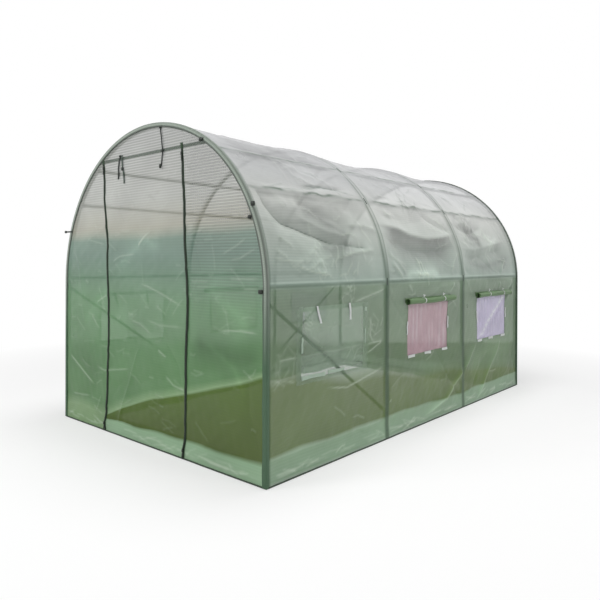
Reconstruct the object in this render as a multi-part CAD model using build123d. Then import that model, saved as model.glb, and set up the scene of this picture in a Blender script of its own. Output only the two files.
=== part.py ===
from build123d import *
from math import cos, degrees, radians, sin, sqrt
import os

# Walk-in polytunnel greenhouse: four tube hoops on a base frame, lengthwise purlins in moulded
# connectors, braced end bays, and a woven film cover with a zipped door and netted side windows.
# X runs across the tunnel, Y along it with the door at -Y, Z up; the ground is Z = 0.

# Overall size, over the film
tunnel_length = 3500.0
tunnel_width = 2000.0
spring_height = 1000.0          # where the straight legs end and the round arch begins
bay_count = 3

# Film cover
film_thickness = 2.0
ground_flap_width = 260.0       # loose hem that lies on the soil inside
front_bay_sag = 10.0            # how far the ridge hangs between two hoops
middle_bay_sag = 34.0
rear_bay_sag = 24.0

# Frame tubes
hoop_diameter = 25.0
purlin_diameter = 19.0
rail_diameter = 19.0
header_diameter = 19.0
brace_diameter = 19.0

# Moulded connectors
seat_clearance = 0.3            # between a tube and its socket, and between frame and film
sleeve_wall = 2.0
sleeve_length = 48.0            # along the hoop
socket_depth = 45.0             # from the hoop's axis to the socket's mouth
socket_stop = 2.0               # wall between the hoop and the end of the tube beside it
foot_sleeve_height = 60.0
haunch_angle = 34.0             # purlin rows on the arch, degrees up from the spring line
crown_angle = 52.0

# Flattened and bolted tube ends
tab_margin = 1.0                # a flat is this much narrower than the hoop it lies on
tab_thickness = 4.0
tab_length = 40.0               # from the hoop's axis
taper_length = 45.0             # from the flat to the full round
brace_drop = 45.0               # upper brace end below the spring line
brace_foot_height = 190.0
header_drop = 153.0             # door header below the hoop's crown

# Door and side windows
door_width = 820.0              # zip to zip
door_offset = -55.0             # the door's middle from the tunnel's middle
zip_width = 26.0
zip_thickness = 4.0
window_width = 600.0
window_height = 370.0
window_drop = 120.0             # window's top below the spring line
window_flap_side_lap = 50.0     # the flap's overlap on the wall beside the window
window_flap_lap = 25.0          # and above and below it
net_thickness = 1.0
roll_core_radius = 7.0
roll_turns = 4
roll_gap = 1.0                  # between the turns of a rolled flap
cut_overrun = 5.0               # how far a cutter passes the face it opens

# Worked out from the sizes above
half_width = tunnel_width / 2
half_length = tunnel_length / 2
inner_width = half_width - film_thickness
inner_length = half_length - film_thickness
sleeve_radius = hoop_diameter / 2 + seat_clearance + sleeve_wall
hoop_radius = inner_width - seat_clearance - sleeve_radius
end_hoop_y = inner_length - seat_clearance - sleeve_radius
bay_length = 2 * end_hoop_y / bay_count
hoop_places = [-end_hoop_y + bay_length * index for index in range(bay_count + 1)]
window_places = [-end_hoop_y + bay_length * (index + 0.5) for index in range(bay_count)]
tube_end = hoop_diameter / 2 + seat_clearance + socket_stop     # socketed end, from the hoop's axis
foot_height = film_thickness + sleeve_wall
rail_socket_radius = rail_diameter / 2 + seat_clearance + sleeve_wall
rail_height = film_thickness + seat_clearance + rail_socket_radius
sleeve_half_angle = degrees(sleeve_length / 2 / hoop_radius)
right_angles = {"shoulder": sleeve_half_angle, "haunch": haunch_angle, "crown": crown_angle}
purlin_angles = {f"right_{row}": angle for row, angle in right_angles.items()}
purlin_angles |= {f"left_{row}": 180 - angle for row, angle in right_angles.items()}
tab_radius = (hoop_diameter - tab_margin) / 2
header_height = spring_height + hoop_radius - header_drop
window_top = spring_height - window_drop
window_sill = window_top - window_height
window_flap_width = window_width + 2 * window_flap_side_lap
half_pitch = (film_thickness + roll_gap) / 2
roll_radius = roll_core_radius + film_thickness + 2 * roll_turns * half_pitch
nodes = {}


def box_between(low, high):
    size = [top - bottom for bottom, top in zip(low, high)]
    middle = [(top + bottom) / 2 for bottom, top in zip(low, high)]
    return Pos(*middle) * Box(*size)


def rod(start, end, radius):
    along = Vector(end) - Vector(start)
    return extrude(Plane(origin=start, z_dir=along) * Circle(radius), amount=along.length)


def on_arch(shape, angle, y):
    # Turns a shape made on the spring line, arch centre at the origin, up to its place on a hoop.
    return Pos(0, y, spring_height) * Rot(0, -angle, 0) * shape


# Hoops: one tube bent to a half round on two straight legs
def bent_rod(radius, half_angle):
    section = Pos(hoop_radius, 0) * Circle(radius)
    return Rot(0, -half_angle, 0) * revolve(section, Axis.Y, revolution_arc=2 * half_angle)


def hoop(y):
    tube = on_arch(bent_rod(hoop_diameter / 2, 90), 90, y)
    for x in (hoop_radius, -hoop_radius):
        tube += rod((x, y, foot_height), (x, y, spring_height), hoop_diameter / 2)
    return tube


for number, place in enumerate(hoop_places, start=1):
    nodes[f"hoop_{number}"] = hoop(place)


# Connectors on the arches: a sleeve that follows the bend, with a socket for each purlin
def arch_connector(sides):
    body = bent_rod(sleeve_radius, sleeve_half_angle)
    bores = bent_rod(hoop_diameter / 2 + seat_clearance, 2 * sleeve_half_angle)
    bore_radius = purlin_diameter / 2 + seat_clearance
    for side in sides:
        mouth = (hoop_radius, side * socket_depth, 0)
        body += rod((hoop_radius, 0, 0), mouth, bore_radius + sleeve_wall)
        past_mouth = (hoop_radius, side * (socket_depth + cut_overrun), 0)
        bores += rod((hoop_radius, side * tube_end, 0), past_mouth, bore_radius)
    return body - bores


for number, place in enumerate(hoop_places, start=1):
    facing = [1] if number == 1 else [-1] if number == len(hoop_places) else [-1, 1]
    fitting = arch_connector(facing)
    fittings = [on_arch(fitting, angle, place) for angle in purlin_angles.values()]
    nodes[f"connectors_{number}"] = Compound(fittings)


# Purlins: one tube a bay, from socket to socket
def purlin(y):
    start = (hoop_radius, y + tube_end, 0)
    return rod(start, (hoop_radius, y + bay_length - tube_end, 0), purlin_diameter / 2)


for row, angle in purlin_angles.items():
    tubes = [on_arch(purlin(place), angle, 0) for place in hoop_places[:-1]]
    nodes[f"{row}_purlin"] = Compound(tubes)


# Base frame: rails between the feet, and the feet's moulded connectors
def foot_connector(x, y, ways):
    foot = (x, y, film_thickness)
    body = rod(foot, (x, y, film_thickness + foot_sleeve_height), sleeve_radius)
    top = (x, y, film_thickness + foot_sleeve_height + cut_overrun)
    bores = rod((x, y, foot_height), top, hoop_diameter / 2 + seat_clearance)
    centre = Vector(x, y, rail_height)
    for way in ways:
        step = Vector(way)
        body += rod(centre, centre + step * socket_depth, rail_socket_radius)
        past_mouth = centre + step * (socket_depth + cut_overrun)
        bores += rod(centre + step * tube_end, past_mouth, rail_diameter / 2 + seat_clearance)
    return body - bores


feet = []
for side in (1, -1):
    for place in hoop_places:
        along = [(0, 1, 0)] if place == hoop_places[0] else [(0, -1, 0)] if place == hoop_places[-1] else []
        ways = along + [(-side, 0, 0)] if along else [(0, 1, 0), (0, -1, 0)]
        feet.append(foot_connector(side * hoop_radius, place, ways))
nodes["foot_connectors"] = Compound(feet)

side_rails = []
for side in (1, -1):
    for place in hoop_places[:-1]:
        start = (side * hoop_radius, place + tube_end, rail_height)
        end = (side * hoop_radius, place + bay_length - tube_end, rail_height)
        side_rails.append(rod(start, end, rail_diameter / 2))
nodes["side_base_rails"] = Compound(side_rails)

rail_reach = hoop_radius - tube_end
end_rails = []
for place in (hoop_places[0], hoop_places[-1]):
    start = (-rail_reach, place, rail_height)
    end_rails.append(rod(start, (rail_reach, place, rail_height), rail_diameter / 2))
nodes["end_base_rails"] = Compound(end_rails)


# Braces and door header: tubes with flattened ends that lie against the hoops
def flat_ended_tube(start, end, flat_normal, diameter):
    along = Vector(end) - Vector(start)
    frame = Plane(origin=start, x_dir=Vector(flat_normal).cross(along), z_dir=along)
    flat = Ellipse(tab_radius, tab_thickness / 2)
    round_start = tab_length + taper_length
    tube = extrude(Pos(0, 0, round_start) * Circle(diameter / 2), amount=along.length - 2 * round_start)
    rounded = rod((0, -tab_thickness, 0), (0, tab_thickness, 0), tab_radius)
    rounded += box_between((-tab_radius, -tab_thickness, 0), (tab_radius, tab_thickness, tab_length))
    tab = rounded & extrude(Pos(0, 0, -tab_radius) * flat, amount=tab_radius + tab_length)
    taper = loft([Pos(0, 0, tab_length) * flat, Pos(0, 0, round_start) * Circle(diameter / 2)])
    for turn in (Pos(0, 0, 0), Pos(0, 0, along.length) * Rot(180, 0, 0)):
        tube += turn * (tab + taper)
    return frame * tube


tab_offset = hoop_diameter / 2 + seat_clearance + tab_thickness / 2
brace_head_height = spring_height - brace_drop
braces = []
for side in (1, -1):
    brace_x = side * (hoop_radius - tab_offset)
    for head, foot in ((hoop_places[0], hoop_places[1]), (hoop_places[-1], hoop_places[-2])):
        top = (brace_x, head, brace_head_height)
        braces.append(flat_ended_tube(top, (brace_x, foot, brace_foot_height), (1, 0, 0), brace_diameter))
nodes["corner_braces"] = Compound(braces)

header_reach = sqrt(hoop_radius ** 2 - (header_height - spring_height) ** 2)
header_y = hoop_places[0] + tab_offset
header_left = (-header_reach, header_y, header_height)
header_right = (header_reach, header_y, header_height)
nodes["door_header"] = flat_ended_tube(header_left, header_right, (0, 1, 0), header_diameter)


# Roof film: lengthwise strips that meet along the purlins and the ridge
def roof_strip(start, end):
    outer = CenterArc((0, spring_height), half_width, start, end - start)
    inner = CenterArc((0, spring_height), inner_width, start, end - start)
    edges = [outer, Line(outer @ 1, inner @ 1), inner, Line(inner @ 0, outer @ 0)]
    return extrude(Plane.XZ * make_face(edges), amount=inner_length, both=True)


# The crown has no purlin at its ridge, so there the film hangs in a swag between two hoops
def crown_section(y, sag):
    arcs = []
    for radius in (half_width, inner_width):
        held_height = spring_height + radius * sin(radians(crown_angle))
        held_edge = (radius * cos(radians(crown_angle)), held_height)
        ridge = (0, spring_height + radius - sag)
        arcs.append(TangentArc(ridge, held_edge, tangent=(1, 0)))
    outer, inner = arcs
    edges = [outer, Line(outer @ 1, inner @ 1), inner, Line(inner @ 0, outer @ 0)]
    return Plane.XZ.offset(-y) * make_face(edges)


def crown_strip():
    stations = [-inner_length] + hoop_places[1:-1] + [inner_length]
    sags = [front_bay_sag] + [middle_bay_sag] * (bay_count - 2) + [rear_bay_sag]
    strip = Part()
    for start, middle, end, sag in zip(stations, window_places, stations[1:], sags):
        strip += loft([crown_section(start, 0), crown_section(middle, sag), crown_section(end, 0)])
    return strip


right_crown = crown_strip()
nodes["roof_film_right_lower"] = roof_strip(0, haunch_angle)
nodes["roof_film_right_upper"] = roof_strip(haunch_angle, crown_angle)
nodes["roof_film_right_crown"] = right_crown
nodes["roof_film_left_crown"] = mirror(right_crown, Plane.YZ)
nodes["roof_film_left_upper"] = roof_strip(180 - crown_angle, 180 - haunch_angle)
nodes["roof_film_left_lower"] = roof_strip(180 - haunch_angle, 180)


# Side walls: film below, between and above the windows, with nets, a closed flap and rolled flaps
def wall_sheet(side, y_span, z_span):
    inner, outer = sorted((side * inner_width, side * half_width))
    return box_between((inner, y_span[0], z_span[0]), (outer, y_span[1], z_span[1]))


def window_net(side, y):
    middle = side * (half_width - film_thickness / 2)
    low = (middle - net_thickness / 2, y - window_width / 2, window_sill)
    return box_between(low, (middle + net_thickness / 2, y + window_width / 2, window_top))


def closed_flap(side, y):
    inner, outer = sorted((side * half_width, side * (half_width + film_thickness)))
    low = (inner, y - window_flap_width / 2, window_sill - window_flap_lap)
    return box_between(low, (outer, y + window_flap_width / 2, window_top + window_flap_lap))


def half_turns(radius):
    # Half circles on two centres in turn, each half a pitch larger, make a spiral that ends
    # on the wall's side.
    arcs = []
    for turn in range(2 * roll_turns + 1):
        centre = half_pitch if turn % 2 else 0
        arcs.append(CenterArc((centre, 0), radius + turn * half_pitch, 0 if turn % 2 else 180, 180))
    return arcs


def rolled_flap(side, y):
    outer = half_turns(roll_core_radius + film_thickness)
    inner = half_turns(roll_core_radius)
    seam = (-roll_radius, roll_radius)
    seam_inside = (film_thickness - roll_radius, roll_radius)
    tail = Polyline((-roll_radius, 0), seam, seam_inside, (film_thickness - roll_radius, 0))
    start = Line((roll_core_radius, 0), (roll_core_radius + film_thickness, 0))
    profile = make_face([*outer, *tail.edges(), *inner, start])
    roll = extrude(Plane.XZ * profile, amount=window_flap_width / 2, both=True)
    place = Pos(half_width + seat_clearance + roll_radius, y, window_top + window_flap_lap - roll_radius)
    right_roll = place * roll
    return right_roll if side > 0 else mirror(right_roll, Plane.YZ)


window_edges = [y + reach for y in window_places for reach in (-window_width / 2, window_width / 2)]
pier_edges = [-inner_length] + window_edges + [inner_length]
pier_spans = list(zip(pier_edges[::2], pier_edges[1::2]))
for name, side in (("right", 1), ("left", -1)):
    whole = (-inner_length, inner_length)
    nodes[f"{name}_wall_film_lower"] = wall_sheet(side, whole, (film_thickness, window_sill))
    nodes[f"{name}_wall_film_upper"] = wall_sheet(side, whole, (window_top, spring_height))
    piers = [wall_sheet(side, span, (window_sill, window_top)) for span in pier_spans]
    nodes[f"{name}_wall_film_piers"] = Compound(piers)
    nodes[f"{name}_window_nets"] = Compound([window_net(side, y) for y in window_places])
    nodes[f"{name}_closed_flap"] = closed_flap(side, window_places[0])
    nodes[f"{name}_rolled_flaps"] = Compound([rolled_flap(side, y) for y in window_places[1:]])


# End walls: the arched sheet, cut in front by the zips and the header line
def end_sheet(y):
    outline = [
        Line((-half_width, film_thickness), (half_width, film_thickness)),
        Line((half_width, film_thickness), (half_width, spring_height)),
        CenterArc((0, spring_height), half_width, 0, 180),
        Line((-half_width, spring_height), (-half_width, film_thickness)),
    ]
    return Pos(0, y, 0) * extrude(Plane.XZ * make_face(outline), amount=-film_thickness)


front_sheet = end_sheet(-half_length)
front_low = -half_length - cut_overrun
front_high = -inner_length + cut_overrun
past_width = half_width + cut_overrun
past_top = spring_height + half_width + cut_overrun
zip_places = (door_offset - door_width / 2, door_offset + door_width / 2)
zip_spans = [(place - zip_width / 2, place + zip_width / 2) for place in zip_places]
left_span, right_span = zip_spans


def front_piece(x_span, z_span):
    return front_sheet & box_between((x_span[0], front_low, z_span[0]), (x_span[1], front_high, z_span[1]))


below_header = (0, header_height)
nodes["front_film_right"] = front_piece((right_span[1], past_width), below_header)
nodes["front_film_left"] = front_piece((-past_width, left_span[0]), below_header)
nodes["front_film_top"] = front_piece((-past_width, past_width), (header_height, past_top))
nodes["door_panel"] = front_piece((left_span[1], right_span[0]), below_header)
nodes["rear_film"] = end_sheet(inner_length)

zip_proud = (zip_thickness - film_thickness) / 2
zips = []
for left, right in zip_spans:
    low = (left, -half_length - zip_proud, film_thickness)
    zips.append(box_between(low, (right, -inner_length + zip_proud, header_height)))
nodes["door_zips"] = Compound(zips)


# Ground flaps: the hem of the cover turned in flat under the base frame
flap_inner_x = half_width - ground_flap_width
flap_inner_y = half_length - ground_flap_width
side_flaps = []
end_flaps = []
for side in (1, -1):
    inner, outer = sorted((side * flap_inner_x, side * half_width))
    side_flaps.append(box_between((inner, -half_length, 0), (outer, half_length, film_thickness)))
    inner, outer = sorted((side * flap_inner_y, side * half_length))
    end_flaps.append(box_between((-flap_inner_x, inner, 0), (flap_inner_x, outer, film_thickness)))
nodes["side_ground_flaps"] = Compound(side_flaps)
nodes["end_ground_flaps"] = Compound(end_flaps)

os.makedirs("parts", exist_ok=True)
for name, shape in nodes.items():
    export_step(shape, f"parts/{name}.step")
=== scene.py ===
import math
import bpy
import bmesh
import numpy as np
from mathutils import Matrix, Vector


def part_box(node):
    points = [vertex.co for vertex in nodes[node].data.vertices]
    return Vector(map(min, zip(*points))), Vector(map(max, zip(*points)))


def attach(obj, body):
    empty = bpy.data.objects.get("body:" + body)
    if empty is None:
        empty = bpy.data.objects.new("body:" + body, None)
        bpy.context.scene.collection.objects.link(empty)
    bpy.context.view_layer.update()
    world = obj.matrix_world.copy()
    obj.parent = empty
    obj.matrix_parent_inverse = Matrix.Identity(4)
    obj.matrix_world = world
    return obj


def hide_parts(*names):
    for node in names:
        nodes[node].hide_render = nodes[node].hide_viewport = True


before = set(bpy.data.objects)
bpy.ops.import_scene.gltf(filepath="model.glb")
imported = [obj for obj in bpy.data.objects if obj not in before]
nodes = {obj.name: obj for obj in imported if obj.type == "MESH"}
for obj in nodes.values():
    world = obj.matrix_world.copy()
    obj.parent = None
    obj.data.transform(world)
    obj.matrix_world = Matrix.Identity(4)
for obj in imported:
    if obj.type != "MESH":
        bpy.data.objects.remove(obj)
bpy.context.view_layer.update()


# The tunnel's own measures, read off the frame

def middle(name):
    low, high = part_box(name)
    return (low + high) / 2


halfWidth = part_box("right_wall_film_lower")[1].x
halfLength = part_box("side_ground_flaps")[1].y
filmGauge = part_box("side_ground_flaps")[1].z
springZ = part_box("right_wall_film_upper")[1].z
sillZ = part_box("right_wall_film_lower")[1].z
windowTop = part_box("right_wall_film_upper")[0].z
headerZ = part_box("front_film_top")[0].z
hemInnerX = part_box("end_ground_flaps")[1].x
hemInnerY = halfLength - (halfWidth - hemInnerX)
hoopYs = [middle(f"hoop_{number}").y for number in range(1, 5)]
bayYs = [(a + b) / 2 for a, b in zip(hoopYs, hoopYs[1:])]
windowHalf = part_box("right_window_nets")[1].y - bayYs[-1]
flapLow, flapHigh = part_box("right_closed_flap")
rollLow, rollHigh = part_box("right_rolled_flaps")
flapHalf = (flapHigh.y - flapLow.y) / 2
filmX = halfWidth - filmGauge / 2          # the film is one layer, in the middle of its stand-in
frontY = -halfLength + filmGauge / 2
rearY = halfLength - filmGauge / 2
zipSides = (("front_film_left", "door_panel"), ("door_panel", "front_film_right"))
zipXs = [(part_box(a)[1].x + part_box(b)[0].x) / 2 for a, b in zipSides]
zipHalf = (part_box("door_panel")[0].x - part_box("front_film_left")[1].x) / 2


def purlinAngle(name):
    place = middle(name)
    return math.atan2(place.z - springZ, place.x)


purlinAngles = [purlinAngle(f"right_{row}_purlin") for row in ("shoulder", "haunch", "crown")]
archLength = math.pi * filmX
girth = archLength + 2 * springZ          # from the ground over the arch to the ground
print("frame read: hoops at", [round(y, 3) for y in hoopYs])


# Materials

def newMaterial(name):
    mat = bpy.data.materials.new(name)
    mat.use_nodes = True
    tree = mat.node_tree
    tree.nodes.clear()
    out = tree.nodes.new("ShaderNodeOutputMaterial")
    skin = tree.nodes.new("ShaderNodeBsdfPrincipled")
    tree.links.new(skin.outputs["BSDF"], out.inputs["Surface"])
    return mat, tree, skin


def addNode(tree, kind, inputs=None, **settings):
    node = tree.nodes.new(kind)
    for key, value in settings.items():
        setattr(node, key, value)
    for key, value in (inputs or {}).items():
        if isinstance(value, bpy.types.NodeSocket):
            tree.links.new(value, node.inputs[key])
        else:
            node.inputs[key].default_value = value
    return node


def mathNode(tree, operation, a, b=0.0, c=0.0, clamp=False):
    node = addNode(tree, "ShaderNodeMath", {0: a, 1: b, 2: c}, operation=operation)
    node.use_clamp = clamp
    return node.outputs[0]


def rampNode(tree, fac, stops):
    node = addNode(tree, "ShaderNodeValToRGB", {"Fac": fac})
    marks = node.color_ramp.elements
    while len(marks) < len(stops):
        marks.new(1.0)
    for mark, (place, colour) in zip(marks, stops):
        mark.position = place
        mark.color = (*colour[:3], 1.0)
    return node.outputs["Color"]


def mixNode(tree, fac, a, b):
    return addNode(tree, "ShaderNodeMix", {0: fac, 6: a, 7: b}, data_type="RGBA").outputs[2]


def timesNode(tree, tint, shade):
    return addNode(tree, "ShaderNodeVectorMath", {0: tint, 1: shade}, operation="MULTIPLY").outputs[0]


def markNode(tree, name):          # one of the piece's own attributes
    return addNode(tree, "ShaderNodeAttribute", attribute_name=name).outputs["Fac"]


def placeNode(tree):
    return addNode(tree, "ShaderNodeTexCoord").outputs["Object"]


def flatNode(tree):          # the piece's flat pattern, whole and by direction
    uv = addNode(tree, "ShaderNodeUVMap", uv_map="flat").outputs["UV"]
    return uv, addNode(tree, "ShaderNodeSeparateXYZ", {0: uv}).outputs


def sineNode(tree, along, pitch):
    return mathNode(tree, "SINE", mathNode(tree, "MULTIPLY", along, 2 * math.pi / pitch))


def noiseNode(tree, place, scale, detail, **more):
    inputs = {"Vector": place, "Scale": scale, "Detail": detail, **more}
    return addNode(tree, "ShaderNodeTexNoise", inputs).outputs["Fac"]


def addRelief(tree, skin, height, strength, distance):
    bump = addNode(tree, "ShaderNodeBump", {"Height": height, "Strength": strength, "Distance": distance})
    tree.links.new(bump.outputs["Normal"], skin.inputs["Normal"])


def srgb(red, green, blue):          # 0 to 255 screen values to linear
    parts = [value / 255 for value in (red, green, blue)]
    return tuple(p / 12.92 if p < 0.04045 else ((p + 0.055) / 1.055) ** 2.4 for p in parts)


# the crease tint paints a highlight on the creases, the shade tint paints shade in them
filmLook = {
    "creaseHighlightTint": srgb(204, 216, 200), "shadeTint": srgb(84, 100, 88), "touchTint": srgb(62, 86, 66),
    "roughness": (0.22, 0.40), "crossShare": 0.35,
    "threadCover": 0.18, "creaseCover": 0.25, "touchCover": 0.15,
}
tintTop = 2.0          # the highest level in the films' tints


def filmMaterial(name, tints, alphas, pitch=0.0165, weave=0.16, crinkle=0.4):
    mat, tree, skin = newMaterial(name)
    place = placeNode(tree)
    level = mathNode(tree, "DIVIDE", markNode(tree, "level"), tintTop)
    tint = rampNode(tree, level, [(z / tintTop, c) for z, c in tints])
    cover = rampNode(tree, level, [(z / tintTop, (a, a, a)) for z, a in alphas])
    cloud = noiseNode(tree, place, 2.2, 3.0)
    tint = timesNode(tree, tint, mathNode(tree, "MULTIPLY_ADD", cloud, 0.26, 0.87))
    uv, flat = flatNode(tree)
    strength = markNode(tree, "thread")
    threads = []
    for axis, share in (("Y", 1.0), ("X", filmLook["crossShare"])):          # level threads show most
        wave = mathNode(tree, "MULTIPLY_ADD", sineNode(tree, flat[axis], pitch), 0.5, 0.5)
        threads.append(mathNode(tree, "MULTIPLY", mathNode(tree, "POWER", wave, 1.6), share))
    thread = mathNode(tree, "MULTIPLY", mathNode(tree, "MAXIMUM", threads[0], threads[1]), strength)
    gap = mathNode(tree, "SUBTRACT", strength, thread)
    tint = timesNode(tree, tint, mathNode(tree, "MULTIPLY_ADD", gap, -weave, 1.0))
    # the tone mark: painted shade and sheen over a small random tone
    tint = timesNode(tree, tint, mathNode(tree, "ADD", markNode(tree, "tone"), 1.0))
    # creases: pale where they catch the light, dark where they fold away from it
    drawn = markNode(tree, "crease")
    crease = mathNode(tree, "MULTIPLY", drawn, 1.0, clamp=True)
    shade = mathNode(tree, "MULTIPLY", drawn, -1.0, clamp=True)
    tint = mixNode(tree, crease, tint, (*filmLook["creaseHighlightTint"], 1.0))
    tint = mixNode(tree, shade, tint, (*filmLook["shadeTint"], 1.0))
    # the tubes show dark through the film that lies on them
    touch = markNode(tree, "contact")
    tint = mixNode(tree, touch, tint, (*filmLook["touchTint"], 1.0))
    tree.links.new(tint, skin.inputs["Base Color"])
    alpha = mathNode(tree, "MULTIPLY_ADD", gap, -filmLook["threadCover"], cover)
    folded = mathNode(tree, "MAXIMUM", crease, shade)
    alpha = mathNode(tree, "MULTIPLY_ADD", folded, filmLook["creaseCover"], alpha)
    alpha = mathNode(tree, "MULTIPLY_ADD", touch, filmLook["touchCover"], alpha, clamp=True)
    tree.links.new(alpha, skin.inputs["Alpha"])
    long = timesNode(tree, uv, (2.4, 7.5, 0.0))
    swirl = noiseNode(tree, long, 1.0, 2.5, Distortion=0.6)
    fine = noiseNode(tree, place, 42.0, 4.0, Roughness=0.6)
    low, high = filmLook["roughness"]
    tree.links.new(mathNode(tree, "MULTIPLY_ADD", cloud, high - low, low), skin.inputs["Roughness"])
    addRelief(tree, skin, mathNode(tree, "MULTIPLY_ADD", fine, 0.16, swirl), crinkle, 0.02)
    skin.inputs["Specular IOR Level"].default_value = 0.25
    return mat


def evenFilm(name, tint, alphas):          # one tint all over
    return filmMaterial(name, [(0.0, tint), (tintTop, tint)], [(0.0, alphas[0]), (tintTop, alphas[1])])


# tint and cover at each level of the film, from the hem up
coverTints = [
    (0.00, srgb(206, 216, 206)), (0.020, srgb(152, 180, 152)), (0.120, srgb(144, 172, 142)),
    (0.140, srgb(90, 112, 58)), (0.42, srgb(98, 118, 70)), (0.50, srgb(118, 142, 110)),
    (0.90, srgb(116, 140, 112)), (1.00, srgb(124, 148, 122)), (1.03, srgb(154, 172, 160)),
    (1.20, srgb(168, 180, 170)), (1.50, srgb(190, 193, 188)), (1.70, srgb(186, 188, 188)),
    (1.90, srgb(168, 169, 171)), (2.00, srgb(150, 151, 153)),
]
coverAlphas = [
    (0.0, 0.90), (0.122, 0.90), (0.140, 0.95), (0.42, 0.94), (0.52, 0.74), (0.95, 0.76), (1.03, 0.84),
    (1.4, 0.86), (1.7, 0.78), (2.0, 0.78),
]
endTints = [
    (0.00, srgb(164, 196, 162)), (0.088, srgb(156, 190, 154)), (0.108, srgb(76, 96, 30)),
    (0.39, srgb(80, 106, 36)), (0.405, srgb(144, 175, 131)), (0.45, srgb(104, 145, 97)),
    (0.90, srgb(116, 155, 117)), (1.20, srgb(132, 159, 144)), (1.30, srgb(140, 165, 150)),
    (1.38, srgb(222, 220, 202)), (1.55, srgb(230, 232, 224)), (2.00, srgb(228, 230, 225)),
]
endAlphas = [
    (0.0, 0.90), (0.088, 0.90), (0.108, 0.98), (0.39, 0.97), (0.42, 0.88), (0.9, 0.84), (1.30, 0.74),
    (1.38, 0.48), (2.0, 0.44),
]
# the rear film is clearer
rearAlphas = [(z, a - 0.15 if 0.40 < z < 1.35 else a) for z, a in endAlphas]
coverFilm = filmMaterial("coverFilm", coverTints, coverAlphas)
endFilm = filmMaterial("endFilm", endTints, endAlphas, weave=0.20, crinkle=0.12)
rearFilm = filmMaterial("rearFilm", endTints, rearAlphas, weave=0.20, crinkle=0.12)
hemFilm = evenFilm("hemFilm", srgb(132, 162, 136), (0.85, 0.85))
flapFilm = evenFilm("flapFilm", srgb(158, 182, 158), (0.26, 0.60))
rollFilm = evenFilm("rollFilm", srgb(92, 124, 80), (0.96, 0.96))


def plainMaterial(name, colour, roughness, variety=0.12, scale=30.0, bump=0.1):
    mat, tree, skin = newMaterial(name)
    cloud = noiseNode(tree, placeNode(tree), scale, 4.0)
    low = tuple(c * (1 - variety) for c in colour)
    high = tuple(min(1.0, c * (1 + variety)) for c in colour)
    tree.links.new(rampNode(tree, cloud, [(0.3, low), (0.7, high)]), skin.inputs["Base Color"])
    addRelief(tree, skin, cloud, bump, 0.002)
    skin.inputs["Roughness"].default_value = roughness
    return mat


def wovenMaterial(name, colour, pitch, dark=0.55, edge=None, stitch=None, foot=None):
    mat, tree, skin = newMaterial(name)
    flat = flatNode(tree)[1]
    both = [sineNode(tree, flat[axis], pitch) for axis in ("X", "Y")]
    rib = mathNode(tree, "MULTIPLY_ADD", mathNode(tree, "MULTIPLY", both[0], both[1]), 0.5, 0.5)
    tint = mixNode(tree, rib, (*[c * dark for c in colour], 1.0), (*colour, 1.0))
    if edge:          # darker borders along the tape
        band = rampNode(tree, mathNode(tree, "DIVIDE", flat["X"], edge["width"]), edge["stops"])
        tint = timesNode(tree, tint, band)
    if stitch:          # a sewn line of pale dashes
        dash = sineNode(tree, flat["Y"], stitch["pitch"])
        dash = mathNode(tree, "MULTIPLY_ADD", dash, 4.0, 0.8, clamp=True)
        off = mathNode(tree, "ABSOLUTE", mathNode(tree, "SUBTRACT", flat["X"], stitch["place"]))
        near = mathNode(tree, "LESS_THAN", off, stitch["width"])
        tint = mixNode(tree, mathNode(tree, "MULTIPLY", dash, near), tint, (*stitch["colour"], 1.0))
    if foot:          # another colour low down
        height = addNode(tree, "ShaderNodeSeparateXYZ", {0: placeNode(tree)}).outputs["Z"]
        share = addNode(tree, "ShaderNodeMapRange", {0: height, 1: foot["low"], 2: foot["high"]}).outputs[0]
        tint = mixNode(tree, share, (*foot["colour"], 1.0), tint)
    tree.links.new(tint, skin.inputs["Base Color"])
    addRelief(tree, skin, rib, 0.4, 0.001)
    skin.inputs["Roughness"].default_value = 0.8
    return mat


def netMaterial(name, tints, turns):          # one tint a window, changing at the turns along the tunnel
    mat, tree, skin = newMaterial(name)
    place = placeNode(tree)
    along = addNode(tree, "ShaderNodeSeparateXYZ", {0: place}).outputs["Y"]
    clearCover, netCover, yarnPitch = 0.10, 0.62, 0.0022
    tint, cover = (*tints[0], 1.0), clearCover
    for colour, turn in zip(tints[1:], turns):
        share = mathNode(tree, "MULTIPLY_ADD", mathNode(tree, "SUBTRACT", along, turn), 5.0, 0.5, clamp=True)
        tint = mixNode(tree, share, tint, (*colour, 1.0))
        cover = mathNode(tree, "MAXIMUM", mathNode(tree, "MULTIPLY", share, netCover), cover)
    # the crease mark paints a highlight on the pleat ridges and along the brace
    tint = mixNode(tree, markNode(tree, "crease"), tint, (*srgb(232, 232, 240), 1.0))
    flat = flatNode(tree)[1]
    yarns = [sineNode(tree, flat[axis], yarnPitch) for axis in ("X", "Y")]
    yarn = mathNode(tree, "MULTIPLY_ADD", mathNode(tree, "MAXIMUM", yarns[0], yarns[1]), 0.5, 0.5)
    cloud = noiseNode(tree, place, 9.0, 3.0)
    tint = timesNode(tree, tint, mathNode(tree, "MULTIPLY_ADD", cloud, 0.35, 0.82))
    tree.links.new(tint, skin.inputs["Base Color"])
    tree.links.new(mathNode(tree, "MULTIPLY_ADD", yarn, 0.3, cover, clamp=True), skin.inputs["Alpha"])
    skin.inputs["Roughness"].default_value = 0.85
    return mat


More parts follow.
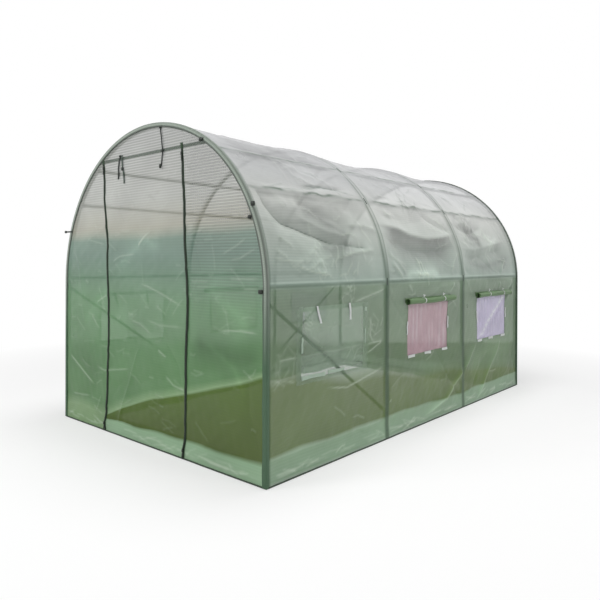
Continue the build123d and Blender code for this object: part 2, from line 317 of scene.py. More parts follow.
tubeCoat = plainMaterial("tubeCoat", srgb(66, 80, 70), 0.42, scale=60.0)
fittingPlastic = plainMaterial("fittingPlastic", srgb(48, 62, 52), 0.5, scale=90.0, bump=0.25)
zipTape = wovenMaterial("zipTape", srgb(54, 78, 54), 0.0024)
zipTeeth = plainMaterial("zipTeeth", srgb(20, 30, 20), 0.4, scale=200.0)
whiteTape = wovenMaterial("whiteTape", srgb(226, 230, 228), 0.0022, dark=0.82)
paleTape = wovenMaterial("paleTape", srgb(176, 196, 178), 0.0022, dark=0.75)
blackTape = wovenMaterial("blackTape", srgb(40, 46, 42), 0.0022)
greyTape = wovenMaterial("greyTape", srgb(84, 98, 88), 0.0022)
bindingStops = [(place, (tone, tone, tone)) for place, tone in (
    (0.0, 0.34), (0.16, 0.40), (0.26, 1.0), (0.48, 0.96), (0.60, 0.46), (0.70, 0.50), (1.0, 0.75))]
edgeBinding = wovenMaterial(
    "edgeBinding", srgb(162, 174, 162), 0.003, dark=0.8, edge={"width": 0.047, "stops": bindingStops},
    stitch={"pitch": 0.012, "place": 0.016, "width": 0.0016, "colour": srgb(188, 198, 186)},
    foot={"low": 0.62, "high": 1.05, "colour": srgb(76, 104, 80)})
hemTape = wovenMaterial("hemTape", srgb(70, 86, 70), 0.003)
netTints = [srgb(126, 148, 122), srgb(194, 164, 173), srgb(208, 200, 226)]
windowNet = netMaterial("windowNet", netTints, hoopYs[1:3])
print("materials made")


# Making pieces

def meshFrom(bm, name):
    mesh = bpy.data.meshes.new(name)
    bm.to_mesh(mesh)
    bm.free()
    return mesh


def addPiece(name, mesh, material, thick=0.0):
    piece = bpy.data.objects.new(name, mesh)
    bpy.context.scene.collection.objects.link(piece)
    mesh.materials.append(material)
    mesh.polygons.foreach_set("use_smooth", [True] * len(mesh.polygons))
    if thick:
        wall = piece.modifiers.new("thickness", "SOLIDIFY")
        wall.thickness = thick
        wall.offset = 0.0
    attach(piece, "root")
    return piece


def gridMesh(name, columns, rows):
    bm = bmesh.new()
    bmesh.ops.create_grid(bm, x_segments=columns, y_segments=rows, size=0.5)
    mesh = meshFrom(bm, name)
    flat = np.empty(len(mesh.vertices) * 3)
    mesh.vertices.foreach_get("co", flat)
    shares = np.clip(flat.reshape(-1, 3)[:, :2] + 0.5, 0, 1)
    return mesh, shares[:, 0], shares[:, 1]


def setPoints(mesh, points, flatU, flatV, **marks):          # place the grid, with its flat pattern as UVs
    mesh.vertices.foreach_set("co", np.ascontiguousarray(points, dtype=np.float64).ravel())
    layer = mesh.uv_layers.new(name="flat")
    corners = np.empty(len(mesh.loops), dtype=np.int64)
    mesh.loops.foreach_get("vertex_index", corners)
    layer.data.foreach_set("uv", np.column_stack([flatU[corners], flatV[corners]]).ravel())
    for key, values in marks.items():
        mesh.attributes.new(key, "FLOAT", "POINT").data.foreach_set("value", values)
    mesh.update()


def joinMeshes(name, meshes, gap=0.0):
    bm = bmesh.new()
    for mesh in meshes:
        bm.from_mesh(mesh)
    if gap:
        bmesh.ops.remove_doubles(bm, verts=bm.verts[:], dist=gap)
        bmesh.ops.recalc_face_normals(bm, faces=bm.faces[:])
    return meshFrom(bm, name)


def smoothStep(x, low, high):
    t = np.clip((x - low) / (high - low), 0, 1)
    return t * t * (3 - 2 * t)


def easedPath(x, knots):          # eased from knot to knot
    places = np.array([k for k, v in knots])
    values = np.array([v for k, v in knots])
    index = np.clip(np.searchsorted(places, x, side="right") - 1, 0, len(places) - 2)
    t = smoothStep((x - places[index]) / (places[index + 1] - places[index]), 0, 1)
    return values[index] + (values[index + 1] - values[index]) * t


def waves(a, b, scale, seed, count=9):          # a soft random field from crossed sines, about -1 to 1
    draw = np.random.default_rng(seed)
    total = np.zeros_like(a)
    for _ in range(count):
        angle, phase = draw.uniform(0, 2 * math.pi, 2)
        rate = 2 * math.pi / (scale * draw.uniform(0.6, 1.7))
        total += np.sin((a * math.cos(angle) + b * math.sin(angle)) * rate + phase)
    return total / math.sqrt(count)


def addFold(field, crease, a, b, points, depth, widths, shine=0.0, fade=0.2):
    # one fold along a line of points; widths are its reach above and below the line
    line = np.asarray(points, dtype=float)
    above, below = widths if isinstance(widths, tuple) else (widths, widths)
    reach = 5 * max(above, below)
    near = (a > line[:, 0].min() - reach) & (a < line[:, 0].max() + reach)
    near &= (b > line[:, 1].min() - reach) & (b < line[:, 1].max() + reach)
    if not near.any():
        return
    nearA, nearB = a[near], b[near]
    steps = line[1:] - line[:-1]
    lengths = np.hypot(steps[:, 0], steps[:, 1])
    starts = np.concatenate([[0], np.cumsum(lengths)])
    best = np.full(nearA.shape, 1e9)
    share = np.zeros(nearA.shape)
    width = np.zeros(nearA.shape)
    for index, (step, length) in enumerate(zip(steps, lengths)):
        offA, offB = nearA - line[index, 0], nearB - line[index, 1]
        t = np.clip((offA * step[0] + offB * step[1]) / length ** 2, 0, 1)
        off = np.hypot(offA - t * step[0], offB - t * step[1])
        closer = off < best
        best = np.where(closer, off, best)
        share = np.where(closer, (starts[index] + t * length) / starts[-1], share)
        width = np.where(closer, np.where(step[0] * offB - step[1] * offA < 0, above, below), width)
    ends = smoothStep(share, 0, fade) * (1 - smoothStep(share, 1 - fade, 1))
    field[near] += depth * ends * np.exp(0.15 - np.sqrt((best / width) ** 2 + 0.0225))
    # shine paints a highlight along the crease, or shade where it is negative
    if shine:
        crease[near] += shine * ends * np.exp(-(best / 0.0055) ** 2)


def addFolds(field, crease, a, b, folds):
    for fold in folds:
        addFold(field, crease, a, b, *fold)


def foldFan(seed, count, box, depth, width):          # folds from a panel's corners towards its middle
    draw = np.random.default_rng(seed)
    (a0, b0), (a1, b1) = box
    found = []
    for _ in range(count):
        corner = (a0 if draw.random() < 0.5 else a1, b0 if draw.random() < 0.5 else b1)
        start = np.array([corner[0] + draw.normal(0, 0.07 * abs(a1 - a0)), corner[1] + draw.normal(0, 0.1)])
        goal = np.array([a0 + (a1 - a0) * draw.uniform(0.15, 0.85), b0 + (b1 - b0) * draw.uniform(0.1, 0.9)])
        end = start + (goal - start) * draw.uniform(0.3, 1.0)
        side = np.array([start[1] - end[1], end[0] - start[0]]) * draw.normal(0, 0.08)
        size = draw.uniform(0.6, 1.5)
        found.append(([start, (start + end) / 2 + side, end], depth * draw.uniform(-1.0, 1.0), width * size))
    return found


def strayCreases(seed, count, box, slant, reach, shine):          # thin wrinkles strewn over a box
    draw = np.random.default_rng(seed)
    (a0, b0), (a1, b1) = box
    found = []
    for _ in range(count):
        centre = np.array([draw.uniform(a0, a1), draw.uniform(b0, b1)])
        turn = draw.normal(slant, 0.5)
        arm = np.array([math.cos(turn), math.sin(turn)]) * reach * draw.uniform(0.25, 1.0)
        bend = centre + draw.normal(0, 0.1, 2) * reach
        found.append(([centre - arm, bend, centre + arm], 0.004 * draw.uniform(0.3, 1.0), 0.010,
                      shine * draw.uniform(0.3, 1.0)))
    return found


def pressed(folds, line, squeeze=0.35):          # wrinkles drawn in towards a line along the hem
    return [([(a, line + (b - line) * squeeze) for a, b in points], *rest) for points, *rest in folds]


def crumple(seed, count, spot, reach, depth, width, shine):          # short creases round a spot
    draw = np.random.default_rng(seed)
    found = []
    for _ in range(count):
        centre = np.array(spot) + draw.normal(0, reach / 2, 2)
        turn = draw.uniform(0, math.pi)
        arm = np.array([math.cos(turn), math.sin(turn)]) * reach * draw.uniform(0.2, 0.6)
        bend = centre + draw.normal(0, 0.008, 2)
        found.append(([centre - arm, bend, centre + arm], depth * draw.uniform(0.3, 1.0), width, shine))
    return found


# Main cover: one sheet over the roof and both walls, drawn over the hoops and purlins

coverSet = {
    "pierCells": 35, "windowCells": 75, "edgeCells": 2,
    "wallCells": {"right": (64, 46, 15), "left": (42, 31, 10)}, "roofCells": {"right": 157, "left": 112},
    "sag": {"wall": (0.009, 0.008, 0.008), "lower": (0.020, 0.018, 0.018),
            "haunch": (0.010, 0.012, 0.010), "crown": (0.003, 0.004, 0.004)},
    "crownSag": (0.010, 0.034, 0.024), "innerLimit": 0.095, "outerLimit": 0.024, "rest": -0.0028,
}

# folds seen on the near side: points as (length up the wall and over the arch, place along the tunnel),
# then the depth, the reach above and below the line, and how pale the crease is painted as a highlight, or
# how dark as painted shade where negative
haunchValley = [(1.60, -1.70), (1.533, -1.628), (1.45, -1.567), (1.394, -1.504),
                (1.354, -1.342), (1.311, -1.188), (1.274, -1.062), (1.223, -0.99)]
swagRidge = [(1.42, -0.56), (1.393, -0.306), (1.353, -0.147), (1.33, 0.085), (1.346, 0.329), (1.385, 0.56)]
rearValley = [(1.202, 0.60), (1.186, 0.877), (1.215, 1.104), (1.285, 1.60)]
longDiagonal = [(0.04, -0.12), (0.126, 0.259), (0.306, 0.584), (0.50, 0.86)]
shortDiagonal = [(0.026, 0.84), (0.24, 1.085), (0.47, 1.38)]
nearFolds = [
    (haunchValley, -0.036, (0.075, 0.040), 0.0),
    (haunchValley, -0.010, (0.016, 0.010), -0.65),
    ([(1.274, -1.062), (1.258, -0.932), (1.244, -0.74)], -0.016, (0.030, 0.016), -0.6),
    ([(1.579, -1.66), (1.624, -1.243), (1.676, -1.001), (1.640, -0.77), (1.610, -0.60)],
     -0.006, (0.020, 0.014), -0.5),
    ([(1.660, -1.22), (1.676, -1.001), (1.665, -0.771)], -0.005, (0.014, 0.012), -0.5),
    ([(1.898, -1.60), (1.905, -1.359), (1.941, -0.965), (1.93, -0.70)], -0.008, (0.026, 0.020), -0.5),
    ([(1.53, -1.40), (1.50, -1.26), (1.45, -1.10), (1.40, -0.88)], -0.016, (0.040, 0.060), 0.0),
    ([(1.44, -1.40), (1.39, -1.26), (1.345, -1.10), (1.31, -0.93)], 0.012, (0.030, 0.018), 0.0),
    ([(1.393, -0.903), (1.394, -0.744), (1.35, -0.60)], 0.012, (0.026, 0.012), 0.20),
    ([(1.169, -1.116), (1.21, -0.924), (1.234, -0.66)], 0.014, (0.022, 0.014), 0.30),
    ([(1.172, -1.68), (1.155, -1.517), (1.156, -1.405)], 0.006, (0.014, 0.010), 0.30),
    ([(1.138, -1.52), (1.095, -1.346), (1.081, -1.216), (1.049, -1.156)], 0.010, (0.018, 0.012), 0.40),
    ([(1.224, -1.66), (1.173, -1.558)], 0.006, (0.014, 0.010), 0.25),
    ([(1.302, -1.62), (1.234, -1.48)], 0.007, (0.016, 0.010), 0.20),
    (swagRidge, 0.020, (0.060, 0.022), 0.10),
    ([(s - 0.10, y) for s, y in swagRidge], -0.036, (0.050, 0.080), 0.0),
    ([(1.55, 0.10), (1.45, 0.343), (1.388, 0.539)], -0.016, (0.030, 0.030), 0.0),
    ([(1.50, -0.50), (1.46, -0.20), (1.47, 0.15)], -0.010, (0.050, 0.040), 0.0),
    ([(1.152, -0.50), (1.09, -0.42), (1.027, -0.357)], 0.012, (0.018, 0.014), 0.25),
    ([(1.23, -0.54), (1.15, -0.40), (1.06, -0.30)], 0.008, (0.016, 0.012), 0.20),
    ([(1.07, -0.30), (1.055, -0.05), (1.045, 0.16)], 0.010, (0.028, 0.016), 0.25),
    ([(1.24, 0.54), (1.14, 0.44), (1.05, 0.37)], 0.010, (0.018, 0.014), 0.2),
    (rearValley, -0.026, (0.040, 0.050), 0.0),
    ([(s + 0.07, y) for s, y in rearValley], 0.014, (0.040, 0.022), 0.0),
    ([(1.50, 0.62), (1.43, 0.80), (1.42, 1.00), (1.48, 1.20)], -0.018, (0.035, 0.030), 0.0),
    ([(1.19, 1.52), (1.11, 1.41), (1.034, 1.346)], 0.012, (0.018, 0.014), 0.30),
    ([(0.975, 1.352), (0.906, 1.307)], 0.008, (0.014, 0.012), 0.35),
    ([(0.998, -0.301), (0.939, -0.23)], 0.007, (0.014, 0.012), 0.25),
    ([(0.994, 0.415), (0.904, 0.31)], 0.007, (0.014, 0.012), 0.30),
    ([(0.64, -0.84), (0.65, -0.64)], 0.006, (0.012, 0.010), 0.45),
    ([(0.585, -0.819), (0.648, -0.64)], 0.006, (0.012, 0.010), 0.50),
    ([(0.435, -1.24), (0.407, -1.026), (0.48, -0.61)], 0.007, (0.014, 0.010), 0.55),
    ([(0.907, -0.97), (0.982, -0.60)], 0.007, (0.012, 0.010), 0.50),
    ([(0.637, -1.66), (0.64, -1.50)], 0.005, (0.012, 0.010), 0.30),
    ([(0.218, -0.601), (0.251, -0.52)], 0.003, (0.010, 0.010), 0.40),
    (longDiagonal, 0.018, (0.030, 0.022), 0.35),
    (shortDiagonal, 0.014, (0.026, 0.020), 0.25),
    ([(0.113, 0.25), (0.208, 0.40)], 0.006, (0.014, 0.012), 0.25),
    ([(1.951, -1.70), (1.93, -1.345), (1.925, -1.072), (1.895, -0.62)], -0.008, (0.030, 0.030), 0.0),
    ([(1.637, -1.30), (1.679, -0.70)], -0.006, (0.016, 0.014), 0.0),
]
nearCrumples = [          # seed, count, spot, reach, depth, width, how pale the painted highlight is, negative for painted shade
    (5, 16, (1.151, -1.292), 0.10, 0.007, 0.011, 0.16), (6, 16, (1.469, 0.885), 0.13, 0.010, 0.016, 0.08),
    (7, 14, (1.07, -0.06), 0.12, 0.006, 0.012, 0.35), (8, 16, (0.60, -1.62), 0.10, 0.005, 0.011, 0.12),
    (17, 14, (1.33, 1.28), 0.12, 0.006, 0.011, 0.28), (18, 12, (0.74, -0.74), 0.11, 0.004, 0.010, 0.22),
    (19, 12, (0.94, -1.02), 0.10, 0.003, 0.010, 0.20), (20, 14, (1.14, -0.98), 0.14, 0.004, 0.010, 0.22),
    (9, 14, (1.78, -1.15), 0.22, 0.005, 0.014, 0.06), (10, 14, (1.72, 0.05), 0.22, 0.006, 0.014, -0.25),
]
bayStrays = [          # seed, count, lowest, highest, slant, how pale the painted highlight is, negative for painted shade
    (161, 9, 0.16, 1.00, 0.2, 0.25), (171, 15, 1.05, 1.56, -0.4, 0.28), (181, 14, 1.60, 2.40, -0.2, -0.4),
]
for row in nearCrumples:
    nearFolds += crumple(*row)
for bayIndex, (start, end) in enumerate(zip(hoopYs, hoopYs[1:])):
    strays = []
    for seed, count, low, high, slant, shine in bayStrays:
        box = ((start + 0.06, low), (end - 0.06, high))
        strays += strayCreases(seed + bayIndex, count, box, slant, 0.13, shine)
    hemBox = ((start + 0.08, 0.02), (end - 0.08, 0.09))
    # pale streaks pressed along the hem: painted highlight on small wrinkles
    strays += pressed(strayCreases(201 + bayIndex, 16, hemBox, 0.0, 0.16, 0.40), 0.055)
    nearFolds += [([(b, a) for a, b in line], *rest) for line, *rest in strays]

# broad tones of the near side, where the film turns towards the light or away from it: line, tone, reach
coverShadeAndSheen = [
    ([(1.50, -1.34), (1.45, -1.18), (1.39, -1.05), (1.31, -0.88)], -0.34, 0.040),
    ([(1.27, -1.24), (1.225, -1.12), (1.25, -1.00), (1.27, -0.88)], -0.34, 0.040),
    ([(1.37, -1.62), (1.30, -1.46), (1.20, -1.30), (1.12, -1.18)], 0.16, 0.050),
    ([(1.54, -1.66), (1.52, -1.50), (1.54, -1.30)], 0.22, 0.040),
    ([(s - 0.010, y) for s, y in swagRidge], -0.50, (0.012, 0.130)),
    ([(1.24, -0.40), (1.20, 0.0), (1.23, 0.42)], -0.14, 0.045),
    ([(s + 0.02, y) for s, y in swagRidge], 0.12, 0.025),
    ([(1.065, -0.34), (1.065, -0.10), (1.075, 0.22)], 0.80, 0.035),
    ([(2.03, -1.68), (2.04, -1.35), (2.06, -0.95)], -0.26, 0.080),
    (longDiagonal, 0.45, 0.015),
    (shortDiagonal, 0.35, 0.020),
    ([(0.32, 0.62), (0.40, 1.10), (0.36, 1.70)], 0.36, 0.130),
    ([(0.95, -1.66), (0.95, -0.66)], -0.12, 0.040),
    ([(1.22, -0.52), (1.12, -0.42), (1.04, -0.36)], 0.22, 0.020),
    ([(1.173, 0.60), (1.130, 0.85), (1.111, 1.032), (1.15, 1.35), (1.21, 1.66)], -0.36, 0.055),
    ([(1.40, 1.16), (1.34, 1.28), (1.37, 1.42), (1.26, 1.14)], 0.30, 0.022),
    ([(1.40, 0.82), (1.35, 1.03), (1.26, 1.02)], -0.52, 0.045),
    ([(1.50, 0.75), (1.46, 0.80), (1.434, 0.90), (1.45, 1.05)], -0.28, 0.028),
    ([(1.87, -1.70), (1.90, -1.36), (1.94, -0.97), (1.93, -0.62)], -0.16, 0.060),
]


def otherSide(fold):          # the far side's folds: the same kind, turned end for end
    points = [(girth - s, -y) for s, y in fold[0]]
    return (points, *fold[1:])


def onProfile(s):          # place and outward direction at length s up a wall and over the arch
    angle = np.clip((s - springZ) / filmX, 0, math.pi)
    past = np.clip(s - springZ - archLength, 0, None)
    x = filmX * np.cos(angle)
    z = np.minimum(s, springZ) + filmX * np.sin(angle) - past
    return x, z, np.cos(angle), np.sin(angle)


rowMarks = [0.0] + [springZ + angle * filmX for angle in purlinAngles]
rowMarks += [girth - mark for mark in rowMarks[::-1]]
purlinMarks = rowMarks[1:-1]
rowKinds = ["wall", "lower", "haunch", "crown", "haunch", "lower", "wall"]
coverFolds = nearFolds + [otherSide(fold) for fold in nearFolds]


def between(value, edges):          # cell number and share inside it
    edges = np.asarray(edges)
    cell = np.clip(np.searchsorted(edges, value) - 1, 0, len(edges) - 2)
    return cell, np.clip((value - edges[cell]) / (edges[cell + 1] - edges[cell]), 0, 1)


def nearest(value, marks):
    return np.min([np.abs(value - mark) for mark in marks], axis=0)


for rowIndex in range(len(rowKinds)):          # smaller folds that fan out from the corners of each bay
    for bayIndex in range(len(bayYs)):
        panel = ((rowMarks[rowIndex], hoopYs[bayIndex]), (rowMarks[rowIndex + 1], hoopYs[bayIndex + 1]))
        fan = foldFan(40 + rowIndex * 7 + bayIndex, 6, panel, 0.007, 0.024)
        coverFolds += [(points, depth, width, 0.0) for points, depth, width in fan]


def coverSwell(s, y):          # how far the film stands out from the plain arch, and the painted highlight and shade of its creases
    row, u = between(s, rowMarks)
    bay, v = between(y, hoopYs)
    depths = np.array([coverSet["sag"][kind] for kind in rowKinds])
    field = -depths[row, bay] * (1 - np.abs(2 * u - 1) ** 2.2) * (1 - np.abs(2 * v - 1) ** 2.4)
    edgeAngle = math.pi / 2 - purlinAngles[2]
    fromRidge = (s - springZ) / filmX - math.pi / 2
    crown = np.clip((np.cos(fromRidge) - math.cos(edgeAngle)) / (1 - math.cos(edgeAngle)), 0, 1)
    crown = np.where(np.abs(fromRidge) < edgeAngle, crown, 0)
    field -= np.array(coverSet["crownSag"])[bay] * crown * 4 * v * (1 - v)
    crease = np.zeros_like(field)
    addFolds(field, crease, s, y, coverFolds)
    ground = smoothStep(np.minimum(s, girth - s), 0.01, 0.10)
    overHoop = smoothStep(nearest(y, hoopYs), 0.008, 0.050)
    overPurlin = smoothStep(nearest(s, purlinMarks), 0.006, 0.045)
    field += waves(s, y, 0.30, 3) * 0.0025 + waves(s, y, 0.08, 9) * 0.0006
    field = np.where(field < 0, field * overPurlin, field) * overHoop * ground
    field = np.clip(field + coverSet["rest"] * ground, -coverSet["innerLimit"], coverSet["outerLimit"])
    return field, np.clip(crease * overHoop, -0.8, 0.8)


# painted shade and sheen where the film turns from or towards the light, over a small random tone
def coverTone(s, y):
    tone = 0.05 * waves(s, y, 0.5, 144)
    for fold in coverShadeAndSheen:
        addFolds(tone, None, s, y, (fold, otherSide(fold)))
    edge = np.minimum(np.abs(s - rowMarks[1]), np.abs(girth - s - rowMarks[1]))
    above = np.minimum(s, girth - s) > rowMarks[1]          # light on the shoulder purlin
    tone += np.where(above, 0.35, 0.0) * np.exp(-((edge - 0.014) / 0.008) ** 2)
    return np.clip(tone, -0.5, 0.45)


def onCover(s, y, lift=0.0):          # a point on the finished cover, lifted off it
    x, z, nx, nz = onProfile(s)
    out = coverSwell(s, y)[0] + lift
    return np.column_stack([x + nx * out, y, z + nz * out])


def warped(z, knots, marks):          # level in the film's tints, from heights that vary along the sheet
    level = np.full_like(z, marks[0])
    for low, high, a, b in zip(knots, knots[1:], marks, marks[1:]):
        share = np.clip((z - low) / (high - low), 0, 1)
        level = np.where(z >= low, a + (b - a) * share, level)
    return level


def coverLevel(z, y):
    near = [-halfLength, hoopYs[1], hoopYs[2], halfLength]
    hem = np.interp(y, near, [0.145, 0.150, 0.125, 0.135]) + 0.005 * waves(y, y * 0.1, 0.42, 141)
    soil = np.interp(y, near, [0.54, 0.42, 0.32, 0.17]) + 0.02 * waves(y, z * 0.3, 0.6, 142)
    soil = np.maximum(soil, hem + 0.01)
    ramp = [np.zeros_like(z), hem, soil, np.full_like(z, 1.0), np.full_like(z, tintTop)]
    return warped(z, ramp, [0, 0.13, 0.46, 1.0, tintTop])


def alongLines():
    stops, counts = [frontY + filmGauge / 2, hoopYs[0]], [coverSet["edgeCells"]]
    for y, hoopY in zip(bayYs, hoopYs[1:]):
        stops += [y - windowHalf, y + windowHalf, hoopY]
        counts += [coverSet["pierCells"], coverSet["windowCells"], coverSet["pierCells"]]
    stops.append(rearY - filmGauge / 2)
    counts.append(coverSet["edgeCells"])
    return lineStops(stops, counts)


def lineStops(stops, counts):
    lines = [np.linspace(a, b, n + 1)[:-1] for a, b, n in zip(stops, stops[1:], counts)]
    return np.concatenate([*lines, [stops[-1]]])


def coverMesh(name, sLines, yLines):
    columns, rows = len(sLines) - 1, len(yLines) - 1
    mesh, across, along = gridMesh(name, columns, rows)
    s = sLines[np.round(across * columns).astype(int)]
    y = yLines[np.round(along * rows).astype(int)]
    x, z, nx, nz = onProfile(s)
    swell, crease = coverSwell(s, y)
    # a leg shows the tube dark through the film; on a roof hoop the tube's lit top is left pale, a painted
    # highlight between dark edges
    onRoof = smoothStep(z, 0.9, 1.3)
    reach = [0, 0.008, 0.016, 0.024, 0.034]
    offHoop = nearest(y, hoopYs) * np.where(np.abs(y) > hoopYs[3] - 0.2, 1.6, 1.0)
    legTouch = np.interp(offHoop, reach, [0.80, 0.80, 0.75, 0.35, 0])
    roofTouch = np.interp(offHoop, reach, [0.10, 0.16, 0.50, 0.50, 0])
    hoopTouch = legTouch + (roofTouch - legTouch) * onRoof
    # the film puckers over a purlin
    wander = np.where(z < 1.1, 0.0, 0.006 * waves(y, s * 0.1, 0.16, 146))
    purlinTouch = 0.75 * (1 - smoothStep(nearest(s + wander, purlinMarks), 0.003, 0.014))
    purlinTouch *= np.where(z < 1.1, 0.5, np.clip(0.70 + 0.40 * waves(y, s * 0.1, 0.14, 145), 0.15, 1.1))
    marks = {"crease": crease, "contact": np.clip(np.maximum(hoopTouch, purlinTouch), 0, 1)}
    marks.update(level=coverLevel(z, y), tone=coverTone(s, y))
    marks["thread"] = np.clip(0.10 + 0.10 * waves(s, y, 0.9, 143), 0, 1)
    setPoints(mesh, np.column_stack([x + nx * swell, y, z + nz * swell]), y, s, **marks)
    corners = np.empty(len(mesh.polygons) * 4, dtype=np.int64)
    mesh.polygons.foreach_get("vertices", corners)
    corners = corners.reshape(-1, 4)
    faceS, faceY = s[corners].mean(1), y[corners].mean(1)
    faceS = np.minimum(faceS, girth - faceS)
    opening = (faceS > sillZ) & (faceS < windowTop) & (nearest(faceY, bayYs) < windowHalf)
    bm = bmesh.new()
    bm.from_mesh(mesh)
    bm.faces.ensure_lookup_table()
    bmesh.ops.delete(bm, geom=[bm.faces[int(i)] for i in np.nonzero(opening)[0]], context="FACES")
    bmesh.ops.recalc_face_normals(bm, faces=bm.faces[:])
    bm.to_mesh(mesh)
    bm.free()
    return mesh


def makeCover(side):
    yLines = alongLines()
    wallLines = lineStops([filmGauge, sillZ, windowTop, springZ], coverSet["wallCells"][side])
    roofLines = np.linspace(springZ, girth / 2, coverSet["roofCells"][side] + 1)
    if side == "left":
        wallLines, roofLines = girth - wallLines[::-1], girth - roofLines[::-1]
    wall = addPiece(f"{side}Wall", coverMesh(f"{side}Wall", wallLines, yLines), coverFilm)
    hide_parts(*[f"{side}_wall_film_{row}" for row in ("lower", "upper", "piers")])
    roof = addPiece(f"{side}Roof", coverMesh(f"{side}Roof", roofLines, yLines), coverFilm)
    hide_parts(*[f"roof_film_{side}_{row}" for row in ("lower", "upper", "crown")])
    return wall, roof


coverPieces = [*makeCover("right"), *makeCover("left")]
print("cover made", [len(piece.data.polygons) for piece in coverPieces])


# End walls

endFolds = [          # points as (across, up)
    ([(-0.953, 0.482), (-0.592, 0.292)], 0.004, 0.007, 0.8),
    ([(-0.58, 0.432), (-0.477, 0.41), (-0.179, 0.459)], 0.005, 0.009, 0.5),
    ([(0.179, 0.469), (0.257, 0.419), (0.378, 0.399)], 0.005, 0.009, 0.6),
    ([(0.109, 0.615), (0.198, 0.575)], 0.004, 0.008, 0.7),
    ([(-0.893, 0.196), (-0.644, 0.213)], 0.006, 0.010, 0.5),
    ([(-0.087, 1.011), (0.001, 0.996), (0.15, 0.956), (0.273, 0.912), (0.349, 0.884)], 0.006, 0.010, 0.6),
    ([(-0.186, 0.776), (-0.066, 0.755), (0.059, 0.697)], 0.006, 0.010, 0.4),
    ([(-0.008, 0.788), (0.132, 0.765), (0.366, 0.767)], 0.005, 0.010, 0.4),
    ([(0.104, 0.881), (0.204, 0.826)], 0.004, 0.009, 0.3),
    ([(-0.107, 1.239), (-0.039, 1.296), (0.047, 1.345)], 0.006, 0.009, 0.7),
    ([(0.647, 0.775), (0.817, 0.787), (0.949, 0.782)], 0.005, 0.008, 0.7),
    ([(0.675, 1.188), (0.78, 1.232), (0.862, 1.279)], 0.005, 0.008, 0.5),
    ([(0.732, 1.159), (0.815, 1.168), (0.948, 1.23)], 0.005, 0.008, 0.5),
    ([(0.413, 1.306), (0.524, 1.334)], 0.004, 0.008, 0.5),
    ([(0.718, 1.058), (0.965, 1.064)], 0.004, 0.008, 0.5),
    ([(0.831, 1.008), (0.966, 1.013)], 0.004, 0.008, 0.5),
    ([(0.414, 1.037), (0.567, 1.038)], 0.004, 0.008, 0.4),
    ([(-0.691, 1.304), (-0.472, 1.26)], 0.005, 0.010, 0.4),
    ([(-0.39, 1.143), (-0.3, 1.182), (-0.119, 1.199)], 0.006, 0.009, 0.5),
    ([(-0.099, 1.248), (0.012, 1.329)], 0.005, 0.009, 0.6),
    ([(-0.578, 0.865), (-0.435, 0.931)], 0.005, 0.010, 0.5),
    ([(-0.639, 0.782), (-0.54, 0.684)], 0.004, 0.009, 0.4),
]
endSheenAndShade = [          # broad sheens and shades, as the cover's tones
    ([(0.52, 1.03), (0.73, 0.90), (0.90, 0.79)], 0.30, 0.060),
    ([(-0.40, 1.00), (-0.56, 0.88), (-0.76, 0.70)], 0.20, 0.050),
    ([(-0.38, 1.08), (-0.20, 1.19), (-0.03, 1.29), (0.16, 1.21)], 0.26, 0.045),
    ([(0.40, 0.70), (0.73, 0.64), (0.99, 0.66)], -0.32, 0.080),
    ([(-0.25, 0.76), (0.12, 0.71), (0.38, 0.68)], -0.06, 0.050),
    ([(-0.97, 0.50), (-0.70, 0.42), (-0.50, 0.34)], -0.12, 0.090),
    ([(0.50, 0.72), (0.77, 0.58), (0.86, 0.42)], 0.18, 0.022),
    ([(0.40, 1.58), (0.62, 1.54), (0.90, 1.46)], 0.10, 0.120),
]
endFans = {
    "front": [(11, 10, ((-0.4, 0.15), (0.35, 1.75))), (12, 6, ((0.4, 0.15), (0.95, 1.4))),
              (13, 6, ((-0.95, 0.15), (-0.45, 1.4)))],
    "rear": [(31, 14, ((-0.95, 0.15), (0.95, 1.0))), (32, 12, ((-0.8, 1.0), (0.8, 1.85)))],
}
# seed, count, lowest, highest, slant
endStrays = [(191, 34, 0.10, 0.70, 0.2), (192, 60, 0.70, 1.40, -0.3), (193, 18, 1.4, 1.9, 0.3)]


def archReach(z):          # half the arch's width at a height
    return np.where(z <= springZ, filmX, np.sqrt(np.clip(filmX ** 2 - (z - springZ) ** 2, 0, None)))


headerReach = float(archReach(np.array([headerZ]))[0])


def endSwell(x, z, end):          # how far an end sheet stands out of its plane, and its creases with their painted highlight
    field = 0.004 * waves(x, z, 0.55, 21 if end == "front" else 33) + 0.0008 * waves(x, z, 0.10, 22)
    crease = np.zeros_like(x)
    for seed, count, box in endFans[end]:
        addFolds(field, crease, x, z, foldFan(seed, count, box, 0.007, 0.022))
    turn = 1 if end == "front" else -1
    addFolds(field, crease, x, z, [([(turn * a, b) for a, b in line], *rest) for line, *rest in endFolds])
    for seed, count, low, high, slant in endStrays:
        box = ((-0.95, low), (0.95, high))
        addFolds(field, crease, x, z, strayCreases(seed, count, box, slant, 0.09, 0.30))
    # pale streaks pressed along the hem: painted highlight on small wrinkles
    streaks = strayCreases(194, 34, ((-0.95, 0.01), (0.95, 0.09)), 0.0, 0.14, 0.75)
    addFolds(field, crease, x, z, pressed(streaks, 0.045))
    radius = np.where(z > springZ, np.hypot(x, z - springZ), np.abs(x))
    rim = smoothStep(filmX - radius, 0.0, 0.10)
    low = smoothStep(z, 0.0, 0.16)
    bar = smoothStep(np.abs(z - headerZ), 0.004, 0.03) if end == "front" else 1.0
    return np.clip(field * rim * low * bar, -0.018, 0.014), np.clip(crease * rim * 0.55, 0, 0.7)


